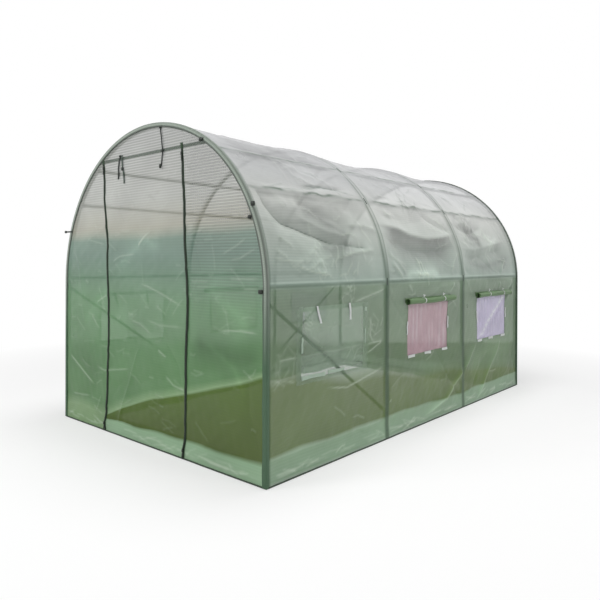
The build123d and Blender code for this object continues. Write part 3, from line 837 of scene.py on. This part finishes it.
def endLevel(x, z, end):
    hem = np.interp(x, [-1, 1], [0.085, 0.122]) + 0.005 * waves(x, x * 0.1, 0.38, 151)
    soil = np.interp(x, [-1, -0.47, -0.25, 0.06, 0.345, 1.0], [0.11, 0.11, 0.20, 0.31, 0.378, 0.57])
    if end == "rear":
        soil = 0.30 + 0.10 * x
    soil = np.maximum(soil + 0.006 * waves(x, x * 0.1, 0.3, 152), hem + 0.01)
    sky = np.interp(x, [-1, -0.4, 0.1, 0.4, 1.0], [1.335, 1.325, 1.325, 1.345, 1.355])
    sky += 0.006 * waves(x, x * 0.1, 0.35, 153)
    ramp = [np.zeros_like(z), hem, soil, np.full_like(z, 0.9), sky, np.full_like(z, tintTop)]
    level = warped(z, ramp, [0, 0.10, 0.40, 0.90, 1.345, tintTop])
    if end == "front":          # left of the door no soil shows
        level = np.where(x < zipX(0, z) - 0.001, np.maximum(level, 0.405), level)
    return level


zipPaths = [          # height, and how far the zip strays sideways there
    [(0.0, -0.004), (0.05, -0.010), (0.14, 0.012), (0.35, 0.022),
     (0.75, 0.034), (1.25, 0.018), (1.6, -0.016), (2.0, -0.045)],
    [(0.0, -0.010), (0.06, -0.004), (0.12, 0.004), (0.45, 0.016),
     (0.9, 0.030), (1.4, 0.004), (1.7, -0.018), (2.0, -0.036)],
]


def zipX(side, z):
    return zipXs[side] + easedPath(z, zipPaths[side])


def setEnd(mesh, x, z, end):
    swell, crease = endSwell(x, z, end)
    y = frontY - swell if end == "front" else rearY + swell
    # painted sheen and shade, over a small random tone
    tone = 0.04 * waves(x, z, 0.4, 154)
    addFolds(tone, None, x, z, endSheenAndShade)
    marks = {"crease": crease, "level": endLevel(x, z, end), "tone": np.clip(tone, -0.4, 0.4)}
    weave = 0.70 * smoothStep(x, 0.30, 0.45) * smoothStep(z, 0.75, 1.25)
    marks["thread"] = 0.12 + weave + 0.5 * smoothStep(z, 1.4, 1.85)
    if end == "front":          # the header shows where the film lies near it
        marks["contact"] = 0.70 * (1 - smoothStep(np.abs(z - headerZ + 0.008), 0.006, 0.015))
    setPoints(mesh, np.column_stack([x, y, z]), x, z, **marks)


def endPanel(name, left, right, cells, end):
    mesh, across, up = gridMesh(name, *cells)
    z = filmGauge + (headerZ - filmGauge) * up
    low, high = left(z), right(z)
    setEnd(mesh, low + (high - low) * across, z, end)
    return mesh


def archPanel(name, cells, end):
    mesh, across, up = gridMesh(name, *cells)
    x = -headerReach + 2 * headerReach * across
    top = np.maximum(springZ + np.sqrt(np.clip(filmX ** 2 - x ** 2, 0, None)), headerZ)
    setEnd(mesh, x, headerZ + (top - headerZ) * up, end)
    return joinMeshes(name, [mesh], 0.0004)


def finishEnd(name, mesh, nodeName):
    piece = addPiece(name, mesh, rearFilm if name == "rearSheet" else endFilm)
    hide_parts(nodeName)


def leftEdge(z):
    return -archReach(z)


def leftZip(z):
    return zipX(0, z)


def rightZip(z):
    return zipX(1, z)


frontPanels = [
    ("frontLeft", leftEdge, leftZip, (76, 262), "front_film_left"),
    ("doorSheet", leftZip, rightZip, (116, 262), "door_panel"),
    ("frontRight", rightZip, archReach, (92, 262), "front_film_right"),
]
for name, left, right, cells, nodeName in frontPanels:
    mesh = endPanel(name, left, right, cells, "front")
    finishEnd(name, mesh, nodeName)
topMesh = archPanel("frontTop", (150, 24), "front")
finishEnd("frontTop", topMesh, "front_film_top")
rearLower = endPanel("rearLower", leftEdge, archReach, (132, 132), "rear")
rearUpper = archPanel("rearUpper", (132, 14), "rear")
rearMesh = joinMeshes("rearSheet", [rearLower, rearUpper], 0.0004)
finishEnd("rearSheet", rearMesh, "rear_film")
print("end walls made")


# Edge binding round both arches, and the piping along the hem

bindingSet = {
    "profile": [(-0.025, 0.0030), (-0.018, 0.0042), (-0.009, 0.0042), (-0.002, 0.0040),
                (0.0030, 0.0026), (0.0037, -0.004), (0.0035, -0.010), (0.0030, -0.016)],
    "steps": 320, "thick": 0.0016,
    "pipeRadius": 0.0048, "pipeSteps": 620, "pipeSides": 8, "cornerRadius": 0.018,
}


def bindEdge(name, end):
    profile = np.array(bindingSet["profile"])
    widths = np.concatenate([[0], np.cumsum(np.hypot(*np.diff(profile, axis=0).T))])
    mesh, across, along = gridMesh(name, len(profile) - 1, bindingSet["steps"])
    index = np.round(across * (len(profile) - 1)).astype(int)
    s = 0.004 + (girth - 0.008) * along
    x, z, nx, nz = onProfile(s)
    slack = 0.0012 * waves(s, s * 0.3, 0.25, 51)
    radial = profile[index, 0] + slack * (profile[index, 0] < -0.02)
    y = (frontY - profile[index, 1]) if end == "front" else (rearY + profile[index, 1])
    setPoints(mesh, np.column_stack([x + nx * radial, y, z + nz * radial]), widths[index], s)
    addPiece(name, mesh, edgeBinding, bindingSet["thick"])


for end in ("front", "rear"):
    bindEdge(f"{end}Binding", end)


def pipePath(steps):          # the tunnel's outline on the ground, corners rounded
    r = bindingSet["cornerRadius"]
    w, l = halfWidth + 0.0005 - r, halfLength + 0.0005 - r
    points = []
    for cx, cy, start in ((w, l, 0), (-w, l, 90), (-w, -l, 180), (w, -l, 270)):
        for turn in np.radians(start + np.linspace(0, 90, 7)):
            points.append((cx + r * math.cos(turn), cy + r * math.sin(turn)))
    points = np.array(points + points[:1])
    lengths = np.concatenate([[0], np.cumsum(np.hypot(*np.diff(points, axis=0).T))])
    place = np.linspace(0, lengths[-1], steps + 1)
    return np.column_stack([np.interp(place, lengths, points[:, k]) for k in (0, 1)]), place


def makePiping():
    steps, sides = bindingSet["pipeSteps"], bindingSet["pipeSides"]
    path, place = pipePath(steps)
    ahead = np.roll(path[:-1], -1, axis=0) - np.roll(path[:-1], 1, axis=0)
    ahead = np.vstack([ahead, ahead[:1]])
    ahead /= np.hypot(ahead[:, 0], ahead[:, 1])[:, None]
    mesh, across, along = gridMesh("hemPiping", sides, steps)
    row = np.round(along * steps).astype(int)
    turn = across * 2 * math.pi
    radius = bindingSet["pipeRadius"]
    outward = np.column_stack([ahead[row, 1], -ahead[row, 0]])
    wobble = 0.0006 * waves(place[row], place[row] * 0.2, 0.3, 61)
    xy = path[row] + outward * (radius * np.cos(turn) - radius * 0.4)[:, None]
    z = radius + 0.0004 + radius * np.sin(turn) + np.maximum(wobble, 0)
    setPoints(mesh, np.column_stack([xy, z]), across * 2 * math.pi * radius, place[row])
    addPiece("hemPiping", joinMeshes("hemPiping", [mesh], 0.0002), hemTape)


makePiping()
print("bindings made")


# Door zips: tape, teeth and sliders, and the ties at the header

zipSet = {
    "toothPitch": 0.010, "tooth": (0.0075, 0.0030, 0.0042), "toothShift": 0.0022, "tapeSteps": 150,
    "thick": 0.0016, "shown": 0.8,
}


def frontAt(x, z):          # the front sheet's outer face
    swell, _ = endSwell(np.atleast_1d(np.asarray(x, float)), np.atleast_1d(np.asarray(z, float)), "front")
    return frontY - swell


def zipTapeMesh(side):
    mesh, across, along = gridMesh("zipTape", 4, zipSet["tapeSteps"])
    z = filmGauge + 0.002 + (headerZ + 0.012 - filmGauge) * along
    across = (across - 0.5) * 2 * zipHalf * zipSet["shown"]
    x = zipX(side, z) + across
    y = frontAt(x, np.minimum(z, headerZ)) - 0.0022
    setPoints(mesh, np.column_stack([x, y, z]), across + zipHalf, z)
    return mesh


def addBox(bm, place, size, turn=0.0, bevel=0.0):          # a small block, turned about the front's normal
    made = bmesh.ops.create_cube(bm, size=1.0)["verts"]
    bmesh.ops.scale(bm, vec=size, verts=made)
    if bevel:
        edges = list({edge for vert in made for edge in vert.link_edges})
        rounded = bmesh.ops.bevel(
            bm, geom=edges, offset=bevel, affect="EDGES", segments=2, profile=0.5, material=-1)
        made = rounded["verts"]
    bmesh.ops.rotate(bm, verts=made, matrix=Matrix.Rotation(turn, 3, "Y"))
    bmesh.ops.translate(bm, verts=made, vec=place)


def makeZips():
    tapes = joinMeshes("zipTapes", [zipTapeMesh(0), zipTapeMesh(1)])
    tape = addPiece("zipTapes", tapes, zipTape, zipSet["thick"])
    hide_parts("door_zips")
    bm = bmesh.new()
    for side in (0, 1):
        z = np.arange(0.012, headerZ - 0.02, zipSet["toothPitch"] / 2)
        x = zipX(side, z)
        y = frontAt(x, z) - 0.0042
        for index in range(len(z)):
            shift = zipSet["toothShift"] if index % 2 else -zipSet["toothShift"]
            addBox(bm, (x[index] + shift, y[index], z[index]), zipSet["tooth"])
        for level, tilt in ((0.055, 0.25), (headerZ - 0.05, -0.1)):          # sliders at both ends
            sx = float(zipX(side, np.array([level]))[0])
            sy = float(frontAt(sx, level)[0])
            addBox(bm, (sx, sy - 0.0075, level), (0.013, 0.008, 0.020), tilt, 0.002)
            addBox(bm, (sx + 0.004, sy - 0.0115, level - 0.026), (0.008, 0.0022, 0.036), tilt, 0.0008)
    addPiece("zipTeeth", meshFrom(bm, "zipTeeth"), zipTeeth)


makeZips()


def strapMesh(path, width, lift):          # a flat tie on the front, along points given as (across, up)
    line = np.array(path)
    lengths = np.concatenate([[0], np.cumsum(np.hypot(*np.diff(line, axis=0).T))])
    mesh, across, along = gridMesh("strap", 2, 24)
    place = along * lengths[-1]
    x = easedPath(place, list(zip(lengths, line[:, 0]))) + (across - 0.5) * width
    z = np.interp(place, lengths, line[:, 1])
    y = frontY - lift - 0.003 * np.sin(along * 5.0)
    setPoints(mesh, np.column_stack([x, y, z]), across * width, place)
    return mesh


def toggle(bm, place, size):          # a moulded cord lock: a short barrel with rounded ends
    made = bmesh.ops.create_uvsphere(bm, u_segments=14, v_segments=10, radius=0.5)["verts"]
    for vert in made:
        if abs(vert.co.z) > 0.2:
            vert.co.z = max(-0.36, min(0.36, vert.co.z * 1.3))
    bmesh.ops.scale(bm, vec=size, verts=made)
    bmesh.ops.translate(bm, verts=made, vec=place)


tieSet = {
    "crownTie": [(0.134, 1.965), (0.150, 1.88), (0.156, 1.815), (0.145, 1.77), (0.138, 1.729)],
    "headerTie": [(-0.290, 1.842), (-0.302, 1.80), (-0.314, 1.74), (-0.318, 1.690)],
    "greyTie": [(-0.270, 1.842), (-0.262, 1.78), (-0.252, 1.72), (-0.249, 1.657)],
    "thick": 0.0016,
    "locks": [          # across, proud of the film and up, then the size
        ((0.138, 0.010, 1.727), (0.020, 0.014, 0.034)), ((0.155, 0.009, 1.818), (0.022, 0.013, 0.020)),
        ((-0.258, 0.012, 1.752), (0.024, 0.016, 0.030)), ((-0.290, 0.009, 1.838), (0.020, 0.013, 0.016)),
        ((0.133, 0.008, 1.962), (0.018, 0.012, 0.018)), ((0.505, 0.009, 1.838), (0.036, 0.014, 0.026)),
        ((0.884, 0.008, 1.383), (0.026, 0.016, 0.026)), ((0.908, 0.009, 1.451), (0.030, 0.018, 0.034)),
        ((0.962, 0.008, 0.998), (0.032, 0.016, 0.030)), ((-0.947, 0.008, 1.364), (0.095, 0.012, 0.014)),
        ((-0.990, 0.009, 1.364), (0.022, 0.016, 0.024)),
    ],
}
for name, width, lift, tape, slotName in (
        ("crownTie", 0.010, 0.0055, blackTape, "zip"), ("headerTie", 0.014, 0.0055, blackTape, "zip"),
        ("greyTie", 0.014, 0.0075, greyTape, "cover_film")):
    addPiece(name, strapMesh(tieSet[name], width, lift), tape, tieSet["thick"])
bm = bmesh.new()
for (x, lift, z), size in tieSet["locks"]:
    toggle(bm, (x, frontY - lift, z), size)
addPiece("tieLocks", meshFrom(bm, "tieLocks"), zipTeeth)
print("door closures made")


# Side windows: nets, rolled flaps, closed flaps, hook-and-loop patches and ties

windowSet = {
    "netLap": 0.016, "netDepth": 0.017, "netWidth": 0.70, "gather": 0.0065, "gatherPitch": 0.058,
    "netBrace": [(0.48, 0.83), (0.66, 1.11), (0.88, 1.46)],
    "flapBrace": [(0.95, -1.74), (0.803, -1.52), (0.51, -1.074), (0.30, -0.76)],
    "flapDrop": 0.42, "turns": 4.5, "rollPitch": 0.003, "rollTail": 0.05, "pinch": 0.12,
    "tieOffsets": (-0.135, 0.165), "patchLift": 0.0035,
}
rollRadius = (rollHigh.z - rollLow.z) / 2
rollX, rollZ = rollHigh.x - rollRadius, rollHigh.z - rollRadius
sideWords = {1: "right", -1: "left"}


def wallS(z, side):          # length along the cover of a height on one wall
    return z if side > 0 else girth - z


def makeNets(side, name):
    meshes = []
    lap = windowSet["netLap"]
    for number, bayY in enumerate(bayYs):
        mesh, across, up = gridMesh("net", *((170, 90) if number == 2 and side > 0 else (84, 40)))
        y = bayY + (across - 0.5) * 2 * (windowHalf + lap)
        z = sillZ - lap + (windowTop - sillZ + 2 * lap) * up
        inside = np.minimum(windowHalf - np.abs(y - bayY), np.minimum(z - sillZ, windowTop - z))
        body = smoothStep(inside, -0.004, 0.05)
        phase = y * 2 * math.pi / windowSet["gatherPitch"] + 1.4 * waves(y, z * 0.25, 0.30, 71 + number)
        fullness = 0.55 + 0.45 * np.abs(waves(y, z * 0.3, 0.5, 81 + number))
        ripple = windowSet["gather"] * np.sin(phase) * fullness
        ripple += 0.003 * waves(y, z, 0.4, 91 + number)
        # pale pleat ridges: a painted highlight
        pleat = np.clip(0.5 + 0.6 * waves(y, z * 0.6, 0.22, 75 + number), 0, 1)
        crease = 0.24 * pleat * np.clip(np.sin(phase + 0.8), 0, 1) ** 2
        if number == 2:          # this net lies on the brace behind it
            addFold(ripple, crease, z, y, windowSet["netBrace"], 0.006, 0.020, 0.0, 0.05)
            # the brace shows pale through the net: a painted highlight
            addFold(crease, None, z, y, windowSet["netBrace"], 1.0, 0.011, 0.0, 0.05)
        points = onCover(wallS(z, side), y, -0.0025)
        points[:, 0] = side * np.maximum(side * points[:, 0] + body * ripple, filmX - windowSet["netDepth"])
        setPoints(mesh, points, y, z, crease=crease * body)
        meshes.append(mesh)
    piece = addPiece(name, joinMeshes(name, meshes), windowNet)
    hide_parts(f"{sideWords[side]}_window_nets")


def rollMesh(bayY, side, seed):
    mesh, around, along = gridMesh("roll", 104, 52)
    tail = windowSet["rollTail"]
    y = bayY + (along - 0.5) * 2 * flapHalf
    turned = np.clip((around - tail) / (1 - tail), 0, None) * windowSet["turns"] * 2 * math.pi
    radius = rollRadius - windowSet["rollPitch"] * turned / (2 * math.pi)
    lump = 1 + 0.05 * waves(y, turned * 0.05, 0.16, seed) + 0.03 * waves(y, turned * 0.12, 0.05, seed + 1)
    for offset in windowSet["tieOffsets"]:
        lump -= windowSet["pinch"] * np.exp(-((y - bayY - offset) / 0.020) ** 2)
    radius = radius * np.clip(lump, 0.78, 1.06)
    sag = 0.004 * waves(y, y * 0.1, 0.5, seed + 2)
    x = rollX + 0.0005 + radius * np.cos(math.pi + turned)
    z = rollZ - 0.002 + sag + radius * np.sin(math.pi + turned)
    onTail = around < tail
    x = np.where(onTail, halfWidth + 0.0012, x)
    z = np.where(onTail, rollZ + (rollHigh.z - rollZ) * (1 - around / tail), z)
    y = y + 0.007 * (along - 0.5) * 2 * np.sin(turned * 0.5 + seed)          # turns end unevenly
    setPoints(mesh, np.column_stack([side * x, y, z]), y, around * windowSet["flapDrop"])
    return mesh


def tieRing(bayY, offset, side):          # a white tie round the roll, with two tails
    mesh, around, across = gridMesh("ring", 28, 3)
    turn = around * 2 * math.pi
    radius = rollRadius * (0.97 + 0.02 * np.sin(turn * 2))
    y = bayY + offset + (across - 0.5) * 0.011 + 0.006 * np.cos(turn)
    x = rollX + 0.001 + radius * np.cos(turn)
    z = rollZ - 0.002 + radius * np.sin(turn)
    setPoints(mesh, np.column_stack([side * x, y, z]), around * 0.14, across * 0.011)
    parts = [mesh]
    for tilt, length in ((-0.5, 0.034), (0.42, 0.026)):
        tail, across, along = gridMesh("tail", 2, 8)
        y = bayY + offset + (across - 0.5) * 0.009 + along * length * math.sin(tilt)
        z = rollZ + rollRadius + 0.002 + along * length * math.cos(tilt) - 0.010 * along ** 2
        x = rollX + 0.004 + 0.008 * along
        setPoints(tail, np.column_stack([side * x, y, z]), across * 0.009, along * length)
        parts.append(tail)
    return parts


def makeRolls(side, name):
    seeds = [101 + 7 * number + (40 if side < 0 else 0) for number in range(2)]
    meshes = [rollMesh(bayY, side, seed) for bayY, seed in zip(bayYs[1:], seeds)]
    piece = addPiece(name, joinMeshes(name, meshes), rollFilm, 0.0008)
    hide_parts(f"{sideWords[side]}_rolled_flaps")
    parts = []
    for bayY in bayYs[1:]:
        for offset in windowSet["tieOffsets"]:
            parts += tieRing(bayY, offset, side)
    ties = addPiece(f"{name}Ties", joinMeshes(f"{name}Ties", parts), whiteTape, 0.0014)


flapFolds = [          # points as (height, place along the tunnel) on the near closed flap
    ([(0.788, -1.47), (0.782, -1.20), (0.783, -0.86)], -0.004, 0.012, 0.15),
    ([(0.637, -1.48), (0.644, -1.272), (0.640, -1.17), (0.652, -0.84)], 0.005, 0.008, 0.55),
    ([(0.86, -1.47), (0.80, -1.36)], 0.004, 0.008, 0.7),
    ([(0.83, -1.47), (0.79, -1.38)], 0.004, 0.007, 0.7),
    ([(0.80, -1.46), (0.775, -1.39)], 0.003, 0.007, 0.6),
    ([(0.57, -1.05), (0.64, -1.00)], 0.004, 0.008, 0.5),
    ([(0.55, -0.98), (0.62, -0.94), (0.64, -0.88)], 0.004, 0.008, 0.6),
    ([(0.55, -1.02), (0.53, -0.90)], 0.003, 0.008, 0.5),
    ([(0.74, -1.38), (0.70, -1.30)], 0.003, 0.009, 0.3),
]
flapFolds += crumple(15, 9, (0.585, -0.96), 0.09, 0.004, 0.007, 0.3)
flapFolds += crumple(16, 7, (0.83, -1.42), 0.08, 0.004, 0.007, 0.25)


def makeClosedFlap(side, name):
    bayY = bayYs[0]
    mesh, across, up = gridMesh(name, 140, 84)
    y = bayY + (across - 0.5) * 2 * flapHalf
    z = flapLow.z + (flapHigh.z - flapLow.z) * up
    field = np.zeros_like(y)
    crease = np.zeros_like(y)
    addFolds(field, crease, z, y, flapFolds)
    edge = np.minimum(flapHalf - np.abs(y - bayY), z - flapLow.z)
    body = smoothStep(edge, 0.0, 0.06) * smoothStep(flapHigh.z - z, 0.0, 0.04)
    belly = 0.006 * body + 0.0015 * waves(y, z, 0.22, 111) * body
    lift = 0.0026 + belly + field * body + 0.0012 * (1 - body) * np.abs(waves(y, z, 0.15, 112))
    touch = np.zeros_like(y)          # the brace shows through
    addFold(touch, None, z, y, windowSet["flapBrace"], 0.55, 0.012, 0.0, 0.02)
    # pale creases on the flap: painted highlight
    marks = {"crease": np.clip(crease * 0.4, 0, 0.6), "contact": np.clip(touch, 0, 0.5)}
    marks["level"] = 2 * smoothStep(edge, 0.0, 0.10) * np.clip(0.8 + 0.25 * waves(y, z, 0.3, 113), 0.3, 1)
    setPoints(mesh, onCover(wallS(z, side), y, lift), y, z, **marks)
    piece = addPiece(name, mesh, flapFilm)
    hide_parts(f"{sideWords[side]}_closed_flap")
    return piece


def patchMesh(y0, y1, z0, z1, side, lift):          # a sewn hook-and-loop strip, proud of the film
    mesh, across, up = gridMesh("patch", 16, 5)
    y = y0 + (y1 - y0) * across + 0.0015 * np.sin(up * 9)
    z = z0 + (z1 - z0) * up + 0.0015 * waves(y, z0 + up * 0.1, 0.12, 121)
    crown = 1 - np.maximum(np.abs(2 * across - 1), np.abs(2 * up - 1)) ** 6
    setPoints(mesh, onCover(wallS(z, side), y, lift + 0.002 * crown), y, z)
    return mesh


def hangMesh(points, width, side, lift):          # a white tape hanging on the wall, points as (along, up)
    (y0, z0), (y1, z1) = points
    mesh, across, along = gridMesh("tape", 2, 16)
    y = y0 + (y1 - y0) * along ** 1.4 + (across - 0.5) * width
    z = z0 + (z1 - z0) * along
    setPoints(mesh, onCover(wallS(z, side), y, lift + 0.004 * np.sin(along * 3)), across * width, along * 0.1)
    return mesh


def makePatches(side, name):
    lift = windowSet["patchLift"]
    over = lift + 0.006
    front = bayYs[0]
    parts = [patchMesh(front + a, front + b, c, d, side, over) for a, b, c, d in (
        (-0.313, -0.299, 0.655, 0.745), (0.300, 0.312, 0.655, 0.742), (-0.310, -0.095, 0.510, 0.532),
        (-0.070, 0.095, 0.514, 0.534), (0.302, 0.326, 0.850, 0.874))]
    closed = addPiece(f"{name}Closed", joinMeshes(f"{name}Closed", parts), paleTape, 0.0012)
    parts = [hangMesh([(front - 0.178, 0.906), (front - 0.136, 0.806)], 0.016, side, over)]
    parts.append(hangMesh([(front + 0.140, 0.908), (front + 0.151, 0.808)], 0.018, side, over))
    for bayY in bayYs[1:]:
        reach = windowHalf
        parts.append(patchMesh(bayY - reach - 0.016, bayY - reach - 0.002, 0.655, 0.745, side, lift))
        parts.append(patchMesh(bayY + reach + 0.002, bayY + reach + 0.016, 0.655, 0.745, side, lift))
        for centre in (bayY - reach + 0.05, bayY - 0.01, bayY + reach - 0.045):
            parts.append(patchMesh(centre - 0.045, centre + 0.045, sillZ - 0.018, sillZ + 0.002, side, lift))
    return [closed, addPiece(name, joinMeshes(name, parts), whiteTape, 0.0012)]


for side, word in sideWords.items():
    makeNets(side, f"{word}Nets")
    makeRolls(side, f"{word}Rolls")
    flap = makeClosedFlap(side, f"{word}ClosedFlap")
    patches = makePatches(side, f"{word}Patches")
print("windows made")


# Hem turned in on the ground

hemSet = {"rise": 0.007, "cell": 0.02, "inset": 0.001}


def hemMesh(x0, x1, y0, y1, outer):          # outer names the side that is sewn to the wall
    cells = [max(4, int(abs(b - a) / hemSet["cell"])) for a, b in ((x0, x1), (y0, y1))]
    mesh, across, along = gridMesh("hem", *cells)
    x, y = x0 + (x1 - x0) * across, y0 + (y1 - y0) * along
    inward = np.abs(x - x0) if outer == "x" else np.abs(y - y0)
    free = smoothStep(inward, 0.02, 0.20)
    rise = hemSet["rise"] * free * np.clip(0.55 + 0.6 * waves(x, y, 0.30, 131), 0, 1.6)
    edge = 0.018 * waves(x, y, 0.5, 132) * smoothStep(inward, 0.10, 0.25)
    if outer == "x":
        x = x + edge
    else:
        y = y + edge
    setPoints(mesh, np.column_stack([x, y, filmGauge / 2 + rise]), x, y)
    return joinMeshes("hem", [mesh], 0.0001)


def makeHem(word, box, place):
    piece = addPiece(f"{word}Hem", hemMesh(*box), hemFilm)
    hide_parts(f"{place}_ground_flaps")


hemX, hemY = halfWidth - hemSet["inset"], halfLength - hemSet["inset"]
for word, side in (("right", 1), ("left", -1)):
    makeHem(word, (side * hemX, side * hemInnerX, -hemY, hemY, "x"), "side")
for word, side in (("front", -1), ("rear", 1)):
    box = (-hemInnerX, hemInnerX, side * hemY, side * hemInnerY, "y")
    makeHem(word, box, "end")
print("hems made")


# Frame finishes

for name, node in nodes.items():
    look = None
    if name.startswith("hoop_") or name.endswith(("purlin", "rails", "braces", "header")):
        look = tubeCoat
    elif "connectors" in name:
        look = fittingPlastic
    if look:
        node.data.materials.clear()
        node.data.materials.append(look)


# Stage, light and camera

stageSet = {"floorSize": 60.0, "floorTone": 0.90, "fadeFrom": 2.6, "fadeTo": 4.6, "skyStrength": 0.42}
bm = bmesh.new()
bmesh.ops.create_grid(bm, x_segments=1, y_segments=1, size=stageSet["floorSize"] / 2)
mesh = meshFrom(bm, "studioFloor")
floor = bpy.data.objects.new("studioFloor", mesh)
floor.location.z = -0.0005
bpy.context.scene.collection.objects.link(floor)
floorMat, tree, skin = newMaterial("studioFloor")
skin.inputs["Base Color"].default_value = (*[stageSet["floorTone"]] * 3, 1)
skin.inputs["Roughness"].default_value = 0.9
skin.inputs["Specular IOR Level"].default_value = 0.0
glow = addNode(tree, "ShaderNodeEmission")
seen = addNode(tree, "ShaderNodeLightPath").outputs["Is Camera Ray"]
away = addNode(tree, "ShaderNodeVectorMath", {0: placeNode(tree)}, operation="LENGTH").outputs["Value"]
fade = {0: away, 1: stageSet["fadeFrom"], 2: stageSet["fadeTo"]}
away = addNode(tree, "ShaderNodeMapRange", fade).outputs[0]
share = mathNode(tree, "MULTIPLY", seen, mathNode(tree, "MULTIPLY_ADD", away, 0.45, 0.55))
blend = addNode(tree, "ShaderNodeMixShader", {0: share, 1: skin.outputs[0], 2: glow.outputs[0]})
tree.links.new(blend.outputs[0], tree.nodes["Material Output"].inputs["Surface"])
mesh.materials.append(floorMat)

world = bpy.data.worlds.new("studioSky")
bpy.context.scene.world = world
world.use_nodes = True
tree = world.node_tree
path = tree.nodes.new("ShaderNodeLightPath")
seen = mathNode(tree, "MAXIMUM", path.outputs["Is Camera Ray"], path.outputs["Is Glossy Ray"])
seen = mathNode(tree, "MAXIMUM", seen, path.outputs["Is Transmission Ray"])
strength = mathNode(tree, "MULTIPLY_ADD", seen, 1.0 - stageSet["skyStrength"], stageSet["skyStrength"])
tree.nodes["Background"].inputs["Color"].default_value = (1, 1, 1, 1)
tree.links.new(strength, tree.nodes["Background"].inputs["Strength"])


def areaLamp(name, place, aim, size, power):
    data = bpy.data.lights.new(name, "AREA")
    data.shape = "DISK"
    data.size = size
    data.energy = power
    lamp = bpy.data.objects.new(name, data)
    lamp.location = place
    lamp.rotation_mode = "QUATERNION"
    lamp.rotation_quaternion = (Vector(aim) - Vector(place)).to_track_quat("-Z", "Y")
    bpy.context.scene.collection.objects.link(lamp)


areaLamp("skyPanel", (0.5, -0.6, 6.5), (0.0, 0.0, 0.8), 3.0, 230)
areaLamp("sideCard", (5.5, -0.5, 4.2), (0.6, 0.0, 0.9), 1.8, 60)
areaLamp("doorCard", (-1.2, -5.8, 4.0), (0.0, -1.7, 1.0), 1.8, 90)

cameraSet = {
    "eye": (2.968, -3.935, 1.156), "yaw": -43.783, "pitch": -0.154, "roll": 0.174,
    "lens": 35.04, "shift": (0.0852, -0.0627),
}
yaw, pitch, roll = (math.radians(cameraSet[key]) for key in ("yaw", "pitch", "roll"))
ahead = Vector((math.cos(pitch) * math.sin(yaw), math.cos(pitch) * math.cos(yaw), math.sin(pitch)))
level = Vector((math.cos(yaw), -math.sin(yaw), 0.0))
upright = level.cross(ahead)
rightWay = level * math.cos(roll) + upright * math.sin(roll)
upWay = -level * math.sin(roll) + upright * math.cos(roll)
eyeData = bpy.data.cameras.new("photoEye")
eyeData.sensor_width = 36.0
eyeData.lens = cameraSet["lens"]
eyeData.shift_x, eyeData.shift_y = cameraSet["shift"]
eye = bpy.data.objects.new("photoEye", eyeData)
facing = Matrix((rightWay, upWay, -ahead)).transposed().to_4x4()
eye.matrix_world = Matrix.Translation(cameraSet["eye"]) @ facing
bpy.context.scene.collection.objects.link(eye)
bpy.context.scene.camera = eye
bpy.context.scene.view_settings.view_transform = "Standard"
print("stage, light and camera set")
